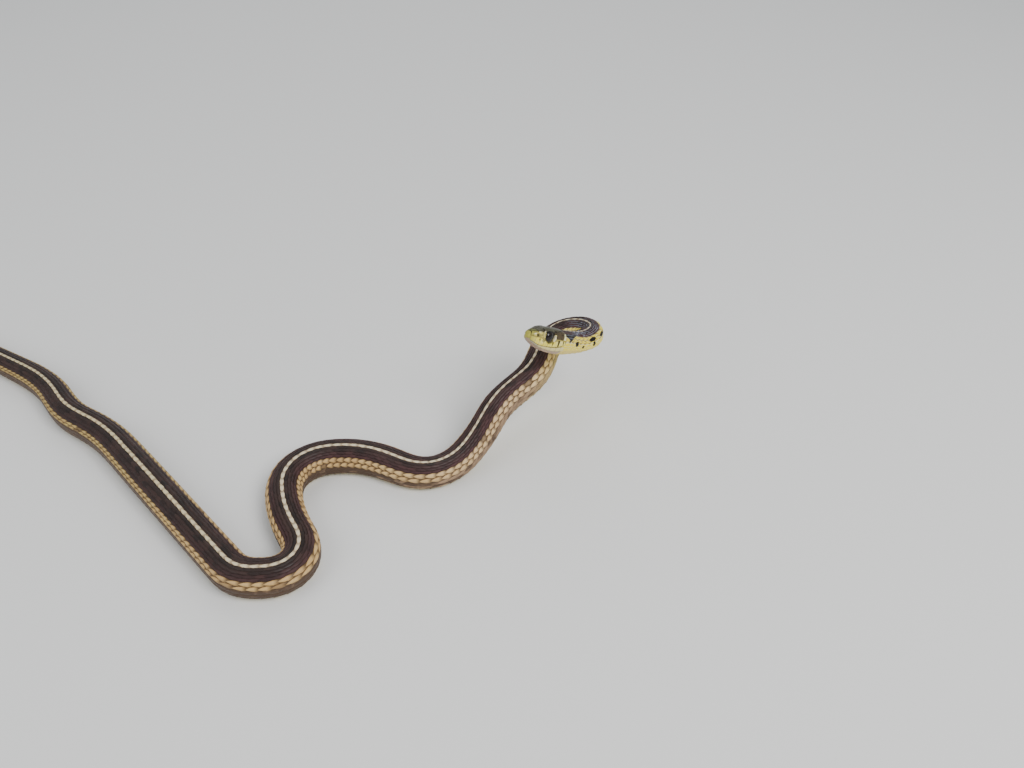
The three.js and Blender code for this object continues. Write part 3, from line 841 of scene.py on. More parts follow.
@dataclass(frozen=True)
class HeadFinish:
    """Smooth head shields: olive brown above, pale yellow lips with dark bars under and behind the eye.

    A span is a pair of distances from the snout, between which the thing that it names comes in.
    """

    crown: Colour = (0.052, 0.044, 0.022)
    crown_grey: Colour = (0.086, 0.084, 0.052)
    snout: Colour = (0.38, 0.35, 0.050)
    snout_top: Colour = (0.125, 0.130, 0.024)
    temple: Colour = (0.100, 0.062, 0.028)
    cheek: Colour = (0.50, 0.42, 0.14)
    # Pale cheek colour: real on the strip behind the eye, a painted highlight on the marks along the
    # canthus.
    cheek_pale_and_highlight: Colour = (0.74, 0.66, 0.42)
    cheek_shade: Colour = (0.17, 0.14, 0.04)
    lip: Colour = (0.80, 0.66, 0.085)
    lip_pale: Colour = (0.82, 0.75, 0.40)
    lip_shade: Colour = (0.36, 0.29, 0.07)
    chin: Colour = (0.70, 0.60, 0.27)
    chin_pink: Colour = (0.44, 0.29, 0.23)
    chin_grey: Colour = (0.40, 0.36, 0.27)
    chin_shade: Colour = (0.42, 0.35, 0.17)
    seam: Colour = (0.030, 0.022, 0.013)
    # The bar colour also paints shade inside the nostril and, in part, round the eye.
    bar: Colour = (0.012, 0.009, 0.005)
    # Painted shade for the crease of the closed mouth and inside the nostril.
    mouth: Colour = (0.050, 0.042, 0.012)
    roughness: float = 0.36
    canthus: float = 51.0
    snout_top_ends: Span = (1.5, 5.0)
    snout_cheek_ends: Span = (0.8, 4.0)
    snout_lip_ends: Span = (0.5, 4.0)
    temple_yellow: Span = (17.7, 20.4)
    crescent: Span = (20.2, 20.7)
    chin_grey_ends: Span = (3.0, 8.0)
    tone_grain: float = 0.0022
    mark_grain: float = 0.0007
    horn_grain: float = 0.0003

    def material(self, name: str) -> bpy.types.Material:
        """The finished material."""
        g = Graph(name)
        run, turn, rim, chance = g.value("run"), abs(g.value("turn")), g.value("rim"), g.value("chance")
        soft = g.noise(self.tone_grain, 3.0)
        wander = turn + (soft - 0.5) * 6.0
        colour = self.above(g, run, rim, soft)
        colour = g.mix(g.value("cheek"), colour, self.side(g, run, rim, soft, wander))
        colour = g.mix(g.value("temple"), colour, self.behind_eye(g, run, turn, rim, soft, wander))
        lip = g.mix(soft.rise(0.4, 0.8) * 0.7, self.lip, self.lip_pale)
        lip = g.mix((1.0 - run.rise(*self.snout_lip_ends)) * 0.8, lip, self.snout)
        colour = g.mix(g.value("lip"), colour, g.mix(rim * 0.28, lip, self.lip_shade))
        under = g.mix(run.rise(*self.chin_grey_ends), self.chin_grey, self.chin)
        under = g.mix(self.below_lips(run, turn) * 0.9, under, self.chin_pink)
        colour = g.mix(g.value("under"), colour, g.mix(rim * 0.35, under, self.chin_shade))
        colour = self.marked(g, colour)
        # The bars are real black marks; the pit, inside the nostril, is painted black as shade.
        for dark in ("bar", "pit"):
            colour = g.mix(g.value(dark), colour, self.bar)
        fine = g.noise(self.horn_grain, 2.0)
        roughness = self.roughness + (fine - 0.5) * 0.15 + chance * 0.05
        return g.surface(colour, roughness, g.bump(fine, 0.00002, 0.4), {"Specular IOR Level": 0.3})

    def above(self, g: Graph, run: Signal, rim: Signal, soft: Signal) -> Signal:
        """The top of the head, with dark seams."""
        tone = g.mix(soft.rise(0.3, 0.75), self.crown, self.crown_grey)
        tone = g.mix(1.0 - run.rise(*self.snout_top_ends), tone, self.snout_top)
        return g.mix(rim * 0.75, tone, self.seam)

    def side(self, g: Graph, run: Signal, rim: Signal, soft: Signal, wander: Signal) -> Signal:
        """The cheek before the eye: yellow, olive toward the top of the head."""
        tone = g.mix(soft.rise(0.35, 0.7), self.cheek, self.lip)
        high = 1.0 - wander.rise(self.canthus, self.canthus + 16.0)
        tone = g.mix(high * 0.8, tone, self.cheek_shade)
        tone = g.mix((1.0 - run.rise(*self.snout_cheek_ends)) * 0.85, tone, self.snout)
        return g.mix(rim * 0.35, tone, self.cheek_shade)

    def behind_eye(
        self, g: Graph, run: Signal, turn: Signal, rim: Signal, soft: Signal, wander: Signal
    ) -> Signal:
        """The temple: brown with dark seams, yellow at its foot and pale along its rear edge."""
        tone = g.mix(soft, self.temple, self.crown)
        tone = g.mix((wander + run.rise(*self.temple_yellow) * 10.0).rise(87.0, 91.0), tone, self.lip)
        tone = g.mix(rim * 0.6, tone, self.seam)
        rear = (run + wander * 0.02).rise(*self.crescent) * turn.rise(50.0, 58.0)
        return g.mix(rear, tone, self.lip_pale)

    @staticmethod
    def below_lips(run: Signal, turn: Signal) -> Signal:
        """1 on the chin, below the shields of the lower lip."""
        return (turn + run * 1.7).rise(162.0, 168.0)

    def marked(self, g: Graph, colour: Signal) -> Signal:
        """The olive marks of the cheek, pale marks with painted highlights along the canthus, and the dark
        rim round the eye with painted shadow under the brow, over a colour.
        """
        run, turn = g.value("run"), abs(g.value("turn"))
        ragged = (g.noise(self.mark_grain, 1.0) - 0.5) * 0.6
        marks = [(spot, self.cheek_shade, 0.75) for spot in OLIVE_MARKS]
        marks += [(spot, self.cheek_pale_and_highlight, 0.9) for spot in PALE_AND_HIGHLIGHT_MARKS]
        marks.append((EYE_RIM_AND_BROW_SHADOW, self.bar, 0.85))
        for spot, tone, strength in marks:
            share = (1.0 - spot.off(run, turn, ragged).rise(0.6, 1.1)) * strength
            colour = g.mix(share, colour, tone)
        return colour


@dataclass(frozen=True)
class EyeFinish:
    """Wet dark eye: large round pupil, thin bronze ring, deep red-brown iris."""

    pupil: Colour = (0.002, 0.0015, 0.0015)
    ring: Colour = (0.035, 0.014, 0.008)
    iris: Colour = (0.007, 0.003, 0.003)
    edge: Colour = (0.004, 0.003, 0.003)
    pupil_angle: float = 0.56
    pupil_soft: float = 0.03
    ring_width: float = 0.2
    iris_angle: float = 1.10
    edge_width: float = 0.2
    grain: float = 0.0003

    def material(self, name: str) -> bpy.types.Material:
        """The finished material."""
        g = Graph(name)
        away = g.value("away")
        streaks = g.noise(self.grain, 4.0)
        inner = g.mix(streaks, self.iris, self.ring)
        iris = g.mix(away.rise(self.pupil_angle, self.pupil_angle + self.ring_width), inner, self.iris)
        round_pupil = away.rise(self.pupil_angle - self.pupil_soft, self.pupil_angle + self.pupil_soft)
        colour = g.mix(round_pupil, self.pupil, iris)
        colour = g.mix(away.rise(self.iris_angle - self.edge_width, self.iris_angle), colour, self.edge)
        constants = {"Specular IOR Level": 0.0, "Coat Weight": 0.8, "Coat Roughness": 0.14}
        return g.surface(colour, 0.25 + streaks * 0.1, None, constants)


@dataclass
class Piece:
    """What every sub-assembly needs: the body's form, the bake sheet and the bands of the markings."""

    form: Form
    sheet: BakeSheet
    bands: Bands

    def hand_over(self, piece: bpy.types.Object, slot: str, nodes: Sequence[str] = ()) -> None:
        """Ties a finished piece to the frame.

        Args:
            piece: The piece.
            slot: A material slot name; not used.
            nodes: Nodes of the solids that it stands for.
        """
        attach(piece, "root")
        if nodes:
            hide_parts(*nodes)
        LOG.info("%s: %d faces", piece.name, len(piece.data.polygons))


@dataclass(frozen=True)
class Nostril:
    """An upright oval nostril on the side of the snout: place, half width, extra height and depth."""

    at: float = 3.5
    angle: float = 77.0
    radius: float = 0.42
    tall: float = 0.7
    depth: float = 0.7


NOSTRIL = Nostril()


@dataclass
class Skin(Piece):
    """One closed skin from the snout to the tail tip, under the scales."""

    depth: float = 0.42
    head_depth: float = 0.06
    deepens: Span = (18.0, 24.0)
    depth_share: float = 0.12
    columns: int = 96
    first_ring: float = 0.06
    nose_rings: int = 9
    head_end: float = 34.0
    head_step: float = 0.35
    body_step: float = 1.6
    mouth_half: float = 3.0
    mouth_depth: float = 0.35
    mouth_fade: float = 0.6
    nostril_full: float = 0.4

    def rings(self) -> Array:
        """Distances of the rings, close together on the head."""
        round_nose = np.cos(np.linspace(self.first_ring, math.pi / 2, self.nose_rings))
        nose = self.form.snout_rounding * (1 - round_nose)
        head = np.arange(nose[-1] + self.head_step, self.head_end, self.head_step)
        count = round((self.form.course.length - self.head_end) / self.body_step)
        return np.concatenate([nose, head, np.linspace(self.head_end, self.form.course.length, count)])

    def nostrils(self, s: Array, angle: Array) -> Array:
        """How deep in a nostril each place lies, from 0 to 1."""
        across = np.radians(np.abs(angle) - NOSTRIL.angle) * self.form.half_widths.at(s)
        return 1.0 - smooth(np.hypot(s - NOSTRIL.at, across) / NOSTRIL.radius - self.nostril_full)

    def build(self) -> None:
        """Builds the skin in place of all the nodes of flesh."""
        rings = self.rings()
        s, angle = np.meshgrid(rings, np.linspace(-180.0, 180.0, self.columns + 1), indexing="ij")
        low, high = self.deepens
        depth = self.head_depth + (self.depth - self.head_depth) * smooth((s - low) / (high - low))
        depth = np.minimum(depth, self.depth_share * self.form.half_widths.at(s))
        off_mouth = np.abs(np.abs(angle) - MOUTH_LINE.at(s)) / self.mouth_half
        mouth = (1.0 - smooth(off_mouth)) * (1.0 - smooth((s - MOUTH_END) / self.mouth_fade))
        pit = self.nostrils(s, angle)
        points = self.form.surface(s, angle, -depth - self.mouth_depth * mouth - NOSTRIL.depth * pit)
        # The mouth crease and the nostril pit are painted dark as shade in the skin's finish.
        mouth = np.maximum(mouth, pit)
        faces = grid_faces(*s.shape)
        flat_s, flat_angle = s.reshape(-1)[faces], angle.reshape(-1)[faces]
        middle = np.broadcast_to(flat_s.mean(axis=1, keepdims=True), flat_s.shape)
        values = {"run": s, "turn": angle, "rim": np.zeros_like(s), "chance": np.full_like(s, 0.5)}
        values |= {"row": self.bands.level(s, angle), "mouth": mouth}
        shape = Shape()
        shape.add(points, faces, self.sheet.spot(flat_s, flat_angle, middle), values)
        skin = shape.build("skin", SkinFinish().material("thin_skin"))
        self.hand_over(skin, "body_skin", FLESH)


@dataclass
class Scales(Piece):
    """Rows of keeled scales on the back and sides, and small, almost smooth ones on the throat.

    A scale's vertices lie along it from its root (0) to its tip (1) and across it from edge to edge. The
    outermost ones come twice, and the second time they are sunk to give the scale a thickness. The braid
    is the thicker rows of the pale side band.
    """

    zones: tuple[tuple[int, int], ...] = ((0, 5), (5, 7), (7, 10))
    pitch_least: float = 1.6
    pitch_per_width: float = 0.3
    start_at: float = 20.3
    end_margin: float = 2.0
    fades: tuple[Span, ...] = ((4, 365), (8, 603), (3, 622), (7, 645), (2, 672), (6, 697), (1, 722))
    fade_over: float = 14.0
    kept_from: float = 0.45
    along: tuple[float, ...] = (0.0, 0.28, 0.52, 0.74, 0.9, 1.0, 1.0)
    across: tuple[float, ...] = (-1.0, -1.0, -0.62, -0.16, 0.0, 0.16, 0.62, 1.0, 1.0)
    seat: float = 0.42
    overlap: float = 1.5
    broad: float = 0.60
    stretched_shorter: float = 0.28
    stretched_slimmer: float = 0.12
    braid_slimmer: float = 0.04
    root_width: float = 0.62
    widest_at: float = 0.55
    tip_point: float = 0.72
    jitter: float = 0.03
    full_at_width: float = 6.5
    thickness: float = 0.30
    braid_thickness: float = 0.56
    rise: tuple[tuple[float, ...], ...] = ((0.0, 0.28, 1.0), (0.35, 0.65, 1.0))
    rounding: float = 0.45
    braid_rounding: float = 0.75
    rounding_power: float = 2.2
    keel: float = 0.12
    keel_half: float = 0.12
    braid_keel: float = 0.6
    low_keel: float = 0.25
    sink: float = 0.34
    skirt: float = 0.3
    stretch_in: Span = (26.0, 34.0)
    stretch_out: Span = (62.0, 92.0)
    throat_rows: int = 6
    throat_first: float = 174.5
    throat_step: float = 10.5
    throat_pitch: float = 1.75
    throat_starts: Span = (13.2, 15.5)
    throat_end: float = 23.0
    throat_slants: Span = (0.25, 0.22)
    jaw_angle: float = 150.0
    parts: tuple[tuple[str, float, float], ...] = (
        ("scales_fore", 0.0, 215.0),
        ("scales_mid", 215.0, 400.0),
        ("scales_rear", 400.0, 752.0),
    )

    @property
    def rows(self) -> int:
        """Rows from the middle of the back to the belly."""
        return self.zones[-1][1]

    def pitch(self, s: Array | float) -> Array:
        """Distance from one scale to the next in its row."""
        return self.pitch_least + self.pitch_per_width * self.form.half_widths.at(s)

    def weights(self, s: Array) -> Array:
        """How much of each row from the back outward is left at the distances s, the middle one halved."""
        weights = np.ones((self.rows, *s.shape))
        weights[0] = 0.5
        for row, at in self.fades:
            weights[row] = 1.0 - smooth((s - at) / self.fade_over)
        return weights

    def row_at(self, s: Array, row: int) -> tuple[Array, Array, Array]:
        """Angle, angular width and shift along the body of one row.

        Args:
            s: Distances from the snout.
            row: Row number, 0 in the middle of the back.

        Returns:
            The angle of the row's middle, its width in degrees and its shift in scales.
        """
        w = self.weights(s)
        edges = self.bands.edges(s)
        zone = next(k for k, (first, end) in enumerate(self.zones) if first <= row < end)
        first, end = self.zones[zone]
        share = (edges[zone + 1] - edges[zone]) / w[first:end].sum(axis=0)
        if row == 0:
            return np.zeros_like(s), w[0] * 2.0 * share, np.zeros_like(s)
        middle = edges[zone] + (w[first:row].sum(axis=0) + 0.5 * w[row]) * share
        return middle, w[row] * share, 0.5 * (w[:row].sum(axis=0) + 0.5 * w[row])

    def steps(self) -> tuple[Array, Array]:
        """Distances along the body, and how many scales of a row lie before each."""
        length = self.form.course.length
        s = np.linspace(0.0, length, 2 * round(length) + 1)
        gaps = np.diff(s) / self.pitch((s[1:] + s[:-1]) / 2.0)
        return s, np.concatenate([[0.0], np.cumsum(gaps)])

    def seats(self) -> dict[str, Array]:
        """Place, size and row of every scale, as arrays of one value each."""
        s, passed = self.steps()
        found: dict[str, list[Array]] = {key: [] for key in ("s", "angle", "width", "row")}
        whole = np.arange(math.floor(passed[-1]))
        for row in range(self.rows):
            rough = np.interp(whole + 0.5 * row, passed, s)
            _, _, shift = self.row_at(rough, row)
            at = np.interp(whole + shift, passed, s)
            angle, width, _ = self.row_at(at, row)
            kept = (at > self.start_at) & (at < self.form.course.length - self.end_margin)
            kept &= self.weights(at)[row] > self.kept_from
            for side in (1.0, -1.0) if row else (1.0,):
                found["s"].append(at[kept])
                found["angle"].append(side * angle[kept])
                found["width"].append(width[kept])
                found["row"].append(np.full(kept.sum(), float(row)))
        return {key: np.concatenate(parts) for key, parts in found.items()}

    def outline(self, u: Array) -> Array:
        """Half width of a scale from its root (0) to its tip (1), as a share of the widest."""
        swell = np.sin(0.5 * math.pi * np.minimum(u / self.widest_at, 1.0))
        broad = self.root_width + (1.0 - self.root_width) * swell
        return broad * np.maximum(1.0 - u**3.0, 0.0) ** self.tip_point

    def stretched(self, s: Array) -> Array:
        """How far the skin of the neck is stretched at the distances s, from 0 to 1."""
        (start, full), (still, end) = self.stretch_in, self.stretch_out
        return smooth((s - start) / (full - start)) * (1.0 - smooth((s - still) / (end - still)))

    def height(self, u: Array, v: Array, braid: Array, low: Array) -> Array:
        """Height of a scale over its sunk root, in millimetres.

        Args:
            u: Places along the scale.
            v: Places across it.
            braid: True for the thick scales of the side band.
            low: True for the lowest rows and the throat, where the keel is weak.

        Returns:
            Heights for a scale of full size.
        """
        rounding = np.where(braid, self.braid_rounding, self.rounding)
        crown = 1.0 - rounding * np.abs(v) ** self.rounding_power
        ends = np.sin(math.pi * np.clip(u * 1.05, 0, 1)) ** 0.5
        keel = self.keel * np.exp(-((v / self.keel_half) ** 2)) * ends
        keel = keel * np.where(low, self.low_keel, np.where(braid, self.braid_keel, 1.0))
        thickness = np.where(braid, self.braid_thickness, self.thickness)
        return thickness * np.interp(u, *self.rise) * crown + keel

    def leaf(self, seats: dict[str, Array], shape: Shape, on_throat: bool = False) -> None:
        """Adds a batch of scales to a shape.

        Args:
            seats: Place, size and row of each scale.
            shape: The shape that takes them.
            on_throat: True for the small scales of the throat, which have the belly's colour.
        """
        u = np.array(self.along)[None, :, None]
        v = np.array(self.across)[None, None, :]
        sunk = np.zeros((1, len(self.along), len(self.across)))
        sunk[:, -1, :] = 1.0
        sunk[:, :, [0, -1]] = 1.0
        rng = np.random.default_rng(SEED + on_throat)
        count = len(seats["s"])
        at, angle, width, row = (seats[key][:, None, None] for key in ("s", "angle", "width", "row"))
        first, end = self.zones[1]
        braid = (row >= first) & (row < end) & (not on_throat)
        stretched = self.stretched(at) * (row < first)
        jitter = rng.normal(0.0, self.jitter, (3, count, 1, 1))
        length = self.pitch(at) * (self.overlap - self.stretched_shorter * stretched) * (1.0 + jitter[0])
        slimmer = self.stretched_slimmer * stretched + self.braid_slimmer * braid
        half = width * (self.broad - slimmer) * (1.0 + jitter[1])
        s = at + length * (u - self.seat)
        turn = angle + v * half * self.outline(u)
        size = np.minimum(1.0, self.form.half_widths.at(at) / self.full_at_width)
        height = self.height(u, v, braid, (row >= end) | on_throat) - self.sink - self.skirt * sunk
        points = self.form.surface(s, turn, height * size * (1.0 + 0.1 * jitter[2]))
        full = points.shape[:3]
        level = self.bands.level(at, np.minimum(np.abs(angle), self.bands.belly - 0.5))
        values = {
            "run": s,
            "turn": turn,
            "row": self.bands.on_throat if on_throat else level,
            "rim": np.maximum(np.abs(v) ** 4, smooth((u - 0.72) / 0.28)),
            "root": 1.0 - smooth((u - 0.26) / 0.2),
            "chance": rng.random((count, 1, 1)),
        }
        values = {key: np.broadcast_to(value, full) for key, value in values.items()}
        spread = np.stack(np.broadcast_arrays(u - 0.5, v * 0.5), axis=-1) * self.sheet.patch
        patches = np.broadcast_to(self.sheet.spot(at, angle) + spread, (*full, 2)).reshape(-1, 2)
        faces = grid_faces(len(self.along), len(self.across), count)
        shape.add(points, faces, patches[faces], values)

    def throat(self) -> dict[str, Array]:
        """Seats of the small scales between the jaws and behind the chin."""
        found: dict[str, list[float]] = {key: [] for key in ("s", "angle", "width", "row")}
        pitch, width = self.throat_pitch, self.throat_step
        (middle_start, side_start), (start_slant, end_slant) = self.throat_starts, self.throat_slants
        for row in range(self.throat_rows):
            angle = self.throat_first - self.throat_step * row
            out = self.jaw_angle - angle
            start = middle_start if out < 0.0 else side_start + out * start_slant
            end = self.throat_end + end_slant * (self.throat_first - angle)
            for at in np.arange(start + 0.5 * pitch * (row % 2), end, pitch):
                for side in (1.0, -1.0):
                    seat = {"s": at, "angle": side * angle, "width": width, "row": self.zones[2][0]}
                    for key, value in seat.items():
                        found[key].append(value)
        return {key: np.array(values) for key, values in found.items()}

    def build(self) -> None:
        """Builds the scales in a few lengths, all in one finish."""
        finish = ScaleFinish().material("keeled_scales")
        seats = self.seats()
        for name, low, high in self.parts:
            inside = (seats["s"] >= low) & (seats["s"] < high)
            shape = Shape()
            self.leaf({key: value[inside] for key, value in seats.items()}, shape)
            if low == 0.0:
                self.leaf(self.throat(), shape, on_throat=True)
            self.hand_over(shape.build(name, finish), "body_skin")


@dataclass
class Scutes(Piece):
    """Broad belly plates in one row, and paired plates under the tail.

    A plate's vertices lie along it from its front (0) to its rear edge (1). That edge comes twice, and the
    second time it is sunk to give the plate a thickness.
    """

    scales: Scales
    start_at: float = 22.5
    vent_margin: float = 0.5
    half_span: float = 60.5
    first_share: float = 0.35
    widen_over: float = 12.0
    along: tuple[float, ...] = (0.0, 0.2, 0.45, 0.7, 0.9, 1.0, 1.0)
    half_columns: int = 12
    lap: float = 0.35
    middle_lap: float = 0.02
    bow: float = 0.22
    full_at_width: float = 5.5
    slope: float = 0.38
    edge_drop: float = 0.3

    def add_row(self, shape: Shape, front: Array, rear: Array, low: float, high: float, seed: int) -> None:
        """Adds plates between front and rear distances.

        Args:
            shape: The shape that takes them.
            front: Distances where the plates start.
            rear: Distances where they end.
            low: Share of the half span at which a plate starts, from -1 to 1.
            high: Share at which it ends.
            seed: Start of the random draws.
        """
        columns = self.half_columns * (2 if low < 0.0 else 1) + 1
        u = np.array(self.along)[None, :, None]
        v = np.linspace(low, high, columns)[None, None, :]
        sunk = np.zeros((1, len(self.along), columns))
        sunk[:, -1, :] = 1.0
        front, rear = front[:, None, None], rear[:, None, None]
        pitch = rear - front
        widened = smooth((front - self.start_at) / self.widen_over)
        span = self.half_span * (self.first_share + (1.0 - self.first_share) * widened)
        s = front - self.lap * pitch + u * (pitch * (1.0 + self.lap)) - self.bow * pitch * np.abs(v) ** 3
        angle = 180.0 + v * span
        size = np.minimum(1.0, self.form.half_widths.at(s) / self.full_at_width)
        height = self.slope * u - self.edge_drop * np.abs(v) ** 6
        height = height - self.scales.sink - self.scales.skirt * sunk
        points = self.form.surface(s, angle, height * size)
        full = points.shape[:3]
        rng = np.random.default_rng(seed)
        values = {
            "run": s,
            "turn": np.where(angle > 180.0, angle - 360.0, angle),
            "row": self.bands.on_belly,
            "rim": smooth((u - 0.8) / 0.2),
            "chance": rng.random((full[0], 1, 1)),
        }
        values = {key: np.broadcast_to(value, full) for key, value in values.items()}
        on_sheet = self.sheet.spot(*np.broadcast_arrays(s, angle - 180.0, front)).reshape(-1, 2)
        faces = grid_faces(len(self.along), columns, full[0])
        shape.add(points, faces, on_sheet[faces], values)

    def build(self) -> None:
        """Builds the belly plates to the vent and the pairs under the tail."""
        s, passed = self.scales.steps()
        numbers = np.arange(math.ceil(np.interp(self.start_at, s, passed)), math.floor(passed[-1]) - 1)
        front, rear = np.interp(numbers, passed, s), np.interp(numbers + 1, passed, s)
        belly = rear <= VENT_AT + self.vent_margin
        shape = Shape()
        self.add_row(shape, front[belly], rear[belly], -1.0, 1.0, SEED + 2)
        front, rear = front[~belly], rear[~belly]
        half = (rear - front) / 2.0
        self.add_row(shape, front, rear, 0.0, 1.0, SEED + 3)
        self.add_row(shape, front + half, rear + half, -1.0, self.middle_lap, SEED + 4)
        self.hand_over(shape.build("belly_scutes", ScaleFinish().material("belly_scute")), "body_skin")


class Zone(Enum):
    """Where on the head a shield lies, which sets its colour."""

    CROWN = "crown"
    TEMPLE = "temple"
    CHEEK = "cheek"
    LIP = "lip"
    UNDER = "under"


@dataclass(frozen=True)
class Shield:
    """The outline of one head shield, as distances and angles of the left side."""

    corners: Outline
    zone: Zone
    lift: float = 0.2
    paired: bool = True
    on_snout: bool = False
    nostril: bool = False


@dataclass
class HeadShields(Piece):
    """The large smooth plates of the head, with narrow seams between them.

    A plate's vertices lie in rings from its sunk edge inward. An edge ring gives its distance from the
    edge, its share of the lift and its rim. A top ring gives its size and its share of the crown. A nostril
    ring gives its size in radii, its share of the lift and its pit. A bar gives its place, its half width
    and its length as a share of the lip's height.
    """

    seam: float = 0.045
    root: float = 0.5
    crown: float = 0.05
    brow_lift: float = 0.42
    rostral_lift: float = 0.15
    edge_step: float = 0.28
    edge_rings: tuple[Ring, ...] = ((0.0, 0.1, 1.0), (0.04, 0.7, 0.9), (0.12, 0.94, 0.45))
    top_rings: tuple[Span, ...] = ((0.84, 0.0), (0.62, 0.5), (0.4, 1.0), (0.18, 1.0))
    nostril_rings: tuple[Ring, ...] = (
        (1.6, 1.0, 0.0),
        (1.25, 1.15, 0.0),
        (1.0, 0.7, 0.3),
        (0.82, -1.0, 1.0),
        (0.4, -2.4, 1.0),
    )
    nostril_limit: float = 0.8
    pit_turn: float = 10.0
    core_at: float = 10.0
    canthus: float = 48.0
    lip_top: float = 90.0
    lip_dip: float = 11.0
    lip_edge: float = 2.2
    lower_depth: Table = Table(((3, 17), (8, 22)))
    eye_half: float = 2.7
    upper_seams: tuple[float, ...] = (0.65, 2.8, 5.0, 7.3, 9.8, 12.7, 16.1, 18.9, 20.4)
    lower_seams: tuple[float, ...] = (1.3, 3.4, 5.4, 7.6, 10.0, 12.8, 15.8, 18.2, 20.4)
    bars: tuple[Ring, ...] = (
        (7.3, 0.30, 0.5),
        (9.8, 0.42, 0.7),
        (12.7, 0.50, 0.9),
        (16.1, 0.70, 1.35),
        (18.9, 0.38, 0.9),
        (20.3, 0.42, 0.8),
    )
    bar_edge: float = 0.25

    def shields(self) -> list[Shield]:
        """Every shield of the head."""
        return [*self.top(), *self.cheek(), *self.chin(), self.rostral(), *self.lips()]

    def top(self) -> list[Shield]:
        """The shields of the top of the head, from the snout to the nape, the middle one last."""
        c = self.canthus
        brow = ((7.3, 22), (7, c), (8.6, 59), (12.6, 59), (13.2, 40), (12.3, 17))
        parietal = ((13.9, 0), (12.3, 16), (13.2, 40), (15, 48), (19.2, 28), (20.4, 9), (20.4, 0))
        frontal = ((7.3, 0), (7.3, 21), (12.2, 15), (13.9, 0), (12.2, -15), (7.3, -21))
        return [
            Shield(((1.12, 0), (1.1, 24), (4, c - 6), (4, 0)), Zone.CROWN),
            Shield(((4, 0), (4, c - 6), (6.6, c + 4), (7.3, 22), (7.3, 0)), Zone.CROWN),
            Shield(brow, Zone.CROWN, self.brow_lift),
            Shield(parietal, Zone.CROWN),
            Shield(frontal, Zone.CROWN, paired=False),
        ]

    def cheek(self) -> list[Shield]:
        """The shields of the cheek before the eye, of the temple, and behind the eye."""
        c = self.canthus
        behind_eye = [
            Shield(((12.9, top), (12.9, top + 11), (14.3, top + 11), (14.3, top)), zone)
            for top, zone in ((58.0, Zone.TEMPLE), (69.0, Zone.CHEEK), (80.0, Zone.CHEEK))
        ]
        return [
            Shield(((1.08, 26), (0.75, 55), (0.6, 87), (4.7, 89), (4, c - 5)), Zone.CHEEK, nostril=True),
            Shield(((4, c - 4), (4.7, 89), (6.3, 90), (6.3, c + 5)), Zone.CHEEK),
            Shield(((6.3, c + 6), (6.3, 90), (7.5, 91), (8.2, 62)), Zone.CHEEK),
            Shield(((14.4, 50), (14.4, 89), (17.2, 89), (17.4, 42)), Zone.TEMPLE),
            Shield(((17.4, 42), (17.3, 66), (20.4, 64), (19.8, 27)), Zone.TEMPLE),
            Shield(((17.3, 67), (17.2, 89), (20.4, 89), (20.4, 65)), Zone.TEMPLE),
            *behind_eye,
        ]

    @staticmethod
    def chin() -> list[Shield]:
        """The two pairs of chin shields, and the single one at the front of the lower lip."""
        front = ((3.1, 180), (2.9, 169), (4.4, 161), (8.4, 153), (8.6, 180))
        rear = ((8.8, 180), (8.7, 154), (10.2, 149), (13.2, 153), (13, 175))
        mental = ((0.85, 180), (1.2, 153), (2.9, 167), (3, 180), (2.9, 193), (1.2, 207))
        pairs = [Shield(outline, Zone.UNDER) for outline in (front, rear)]
        return [*pairs, Shield(mental, Zone.UNDER, paired=False)]

    def rostral(self) -> Shield:
        """The shield over the tip of the snout."""
        left = ((1, 0), (0.95, 22), (0.7, 45), (0.45, 75), (0.42, 100), (0.5, 125), (0.32, 150))
        left += ((0.28, 180),)
        right = tuple((s, 360 - angle) for s, angle in left[-2:0:-1])
        return Shield(left + right, Zone.CHEEK, self.rostral_lift, paired=False, on_snout=True)

    def lips(self) -> list[Shield]:
        """The shields along the upper and the lower lip."""
        edge = self.lip_edge
        upper = self.lip_row(
            self.upper_seams, Zone.LIP, self.lip_top_at, lambda s: float(MOUTH_LINE.at(s)) - edge
        )
        lower = self.lip_row(
            self.lower_seams,
            Zone.UNDER,
            lambda s: float(MOUTH_LINE.at(s)) + edge,
            lambda s: float(MOUTH_LINE.at(s)) + float(self.lower_depth.at(s)),
        )
        return upper + lower

    def lip_top_at(self, s: float) -> float:
        """Angle of the upper lip's upper edge, which dips under the eye."""
        return self.lip_top + self.lip_dip * float(1.0 - smooth(abs(s - EYE_AT) / self.eye_half - 0.5))

    @staticmethod
    def lip_row(
        seams: Sequence[float], zone: Zone, high: Callable[[float], float], low: Callable[[float], float]
    ) -> list[Shield]:
        """Lays out the shields of one lip.

        Args:
            seams: Distances of the seams.
            zone: Zone of the shields.
            high: Angle of their upper edge by distance.
            low: Angle of their lower edge by distance.

        Returns:
            One shield between each two neighbouring seams.
        """
        return [
            Shield(((a, high(a)), (b, high(b)), (b, low(b)), (a, low(a))), zone)
            for a, b in zip(seams[:-1], seams[1:])
        ]

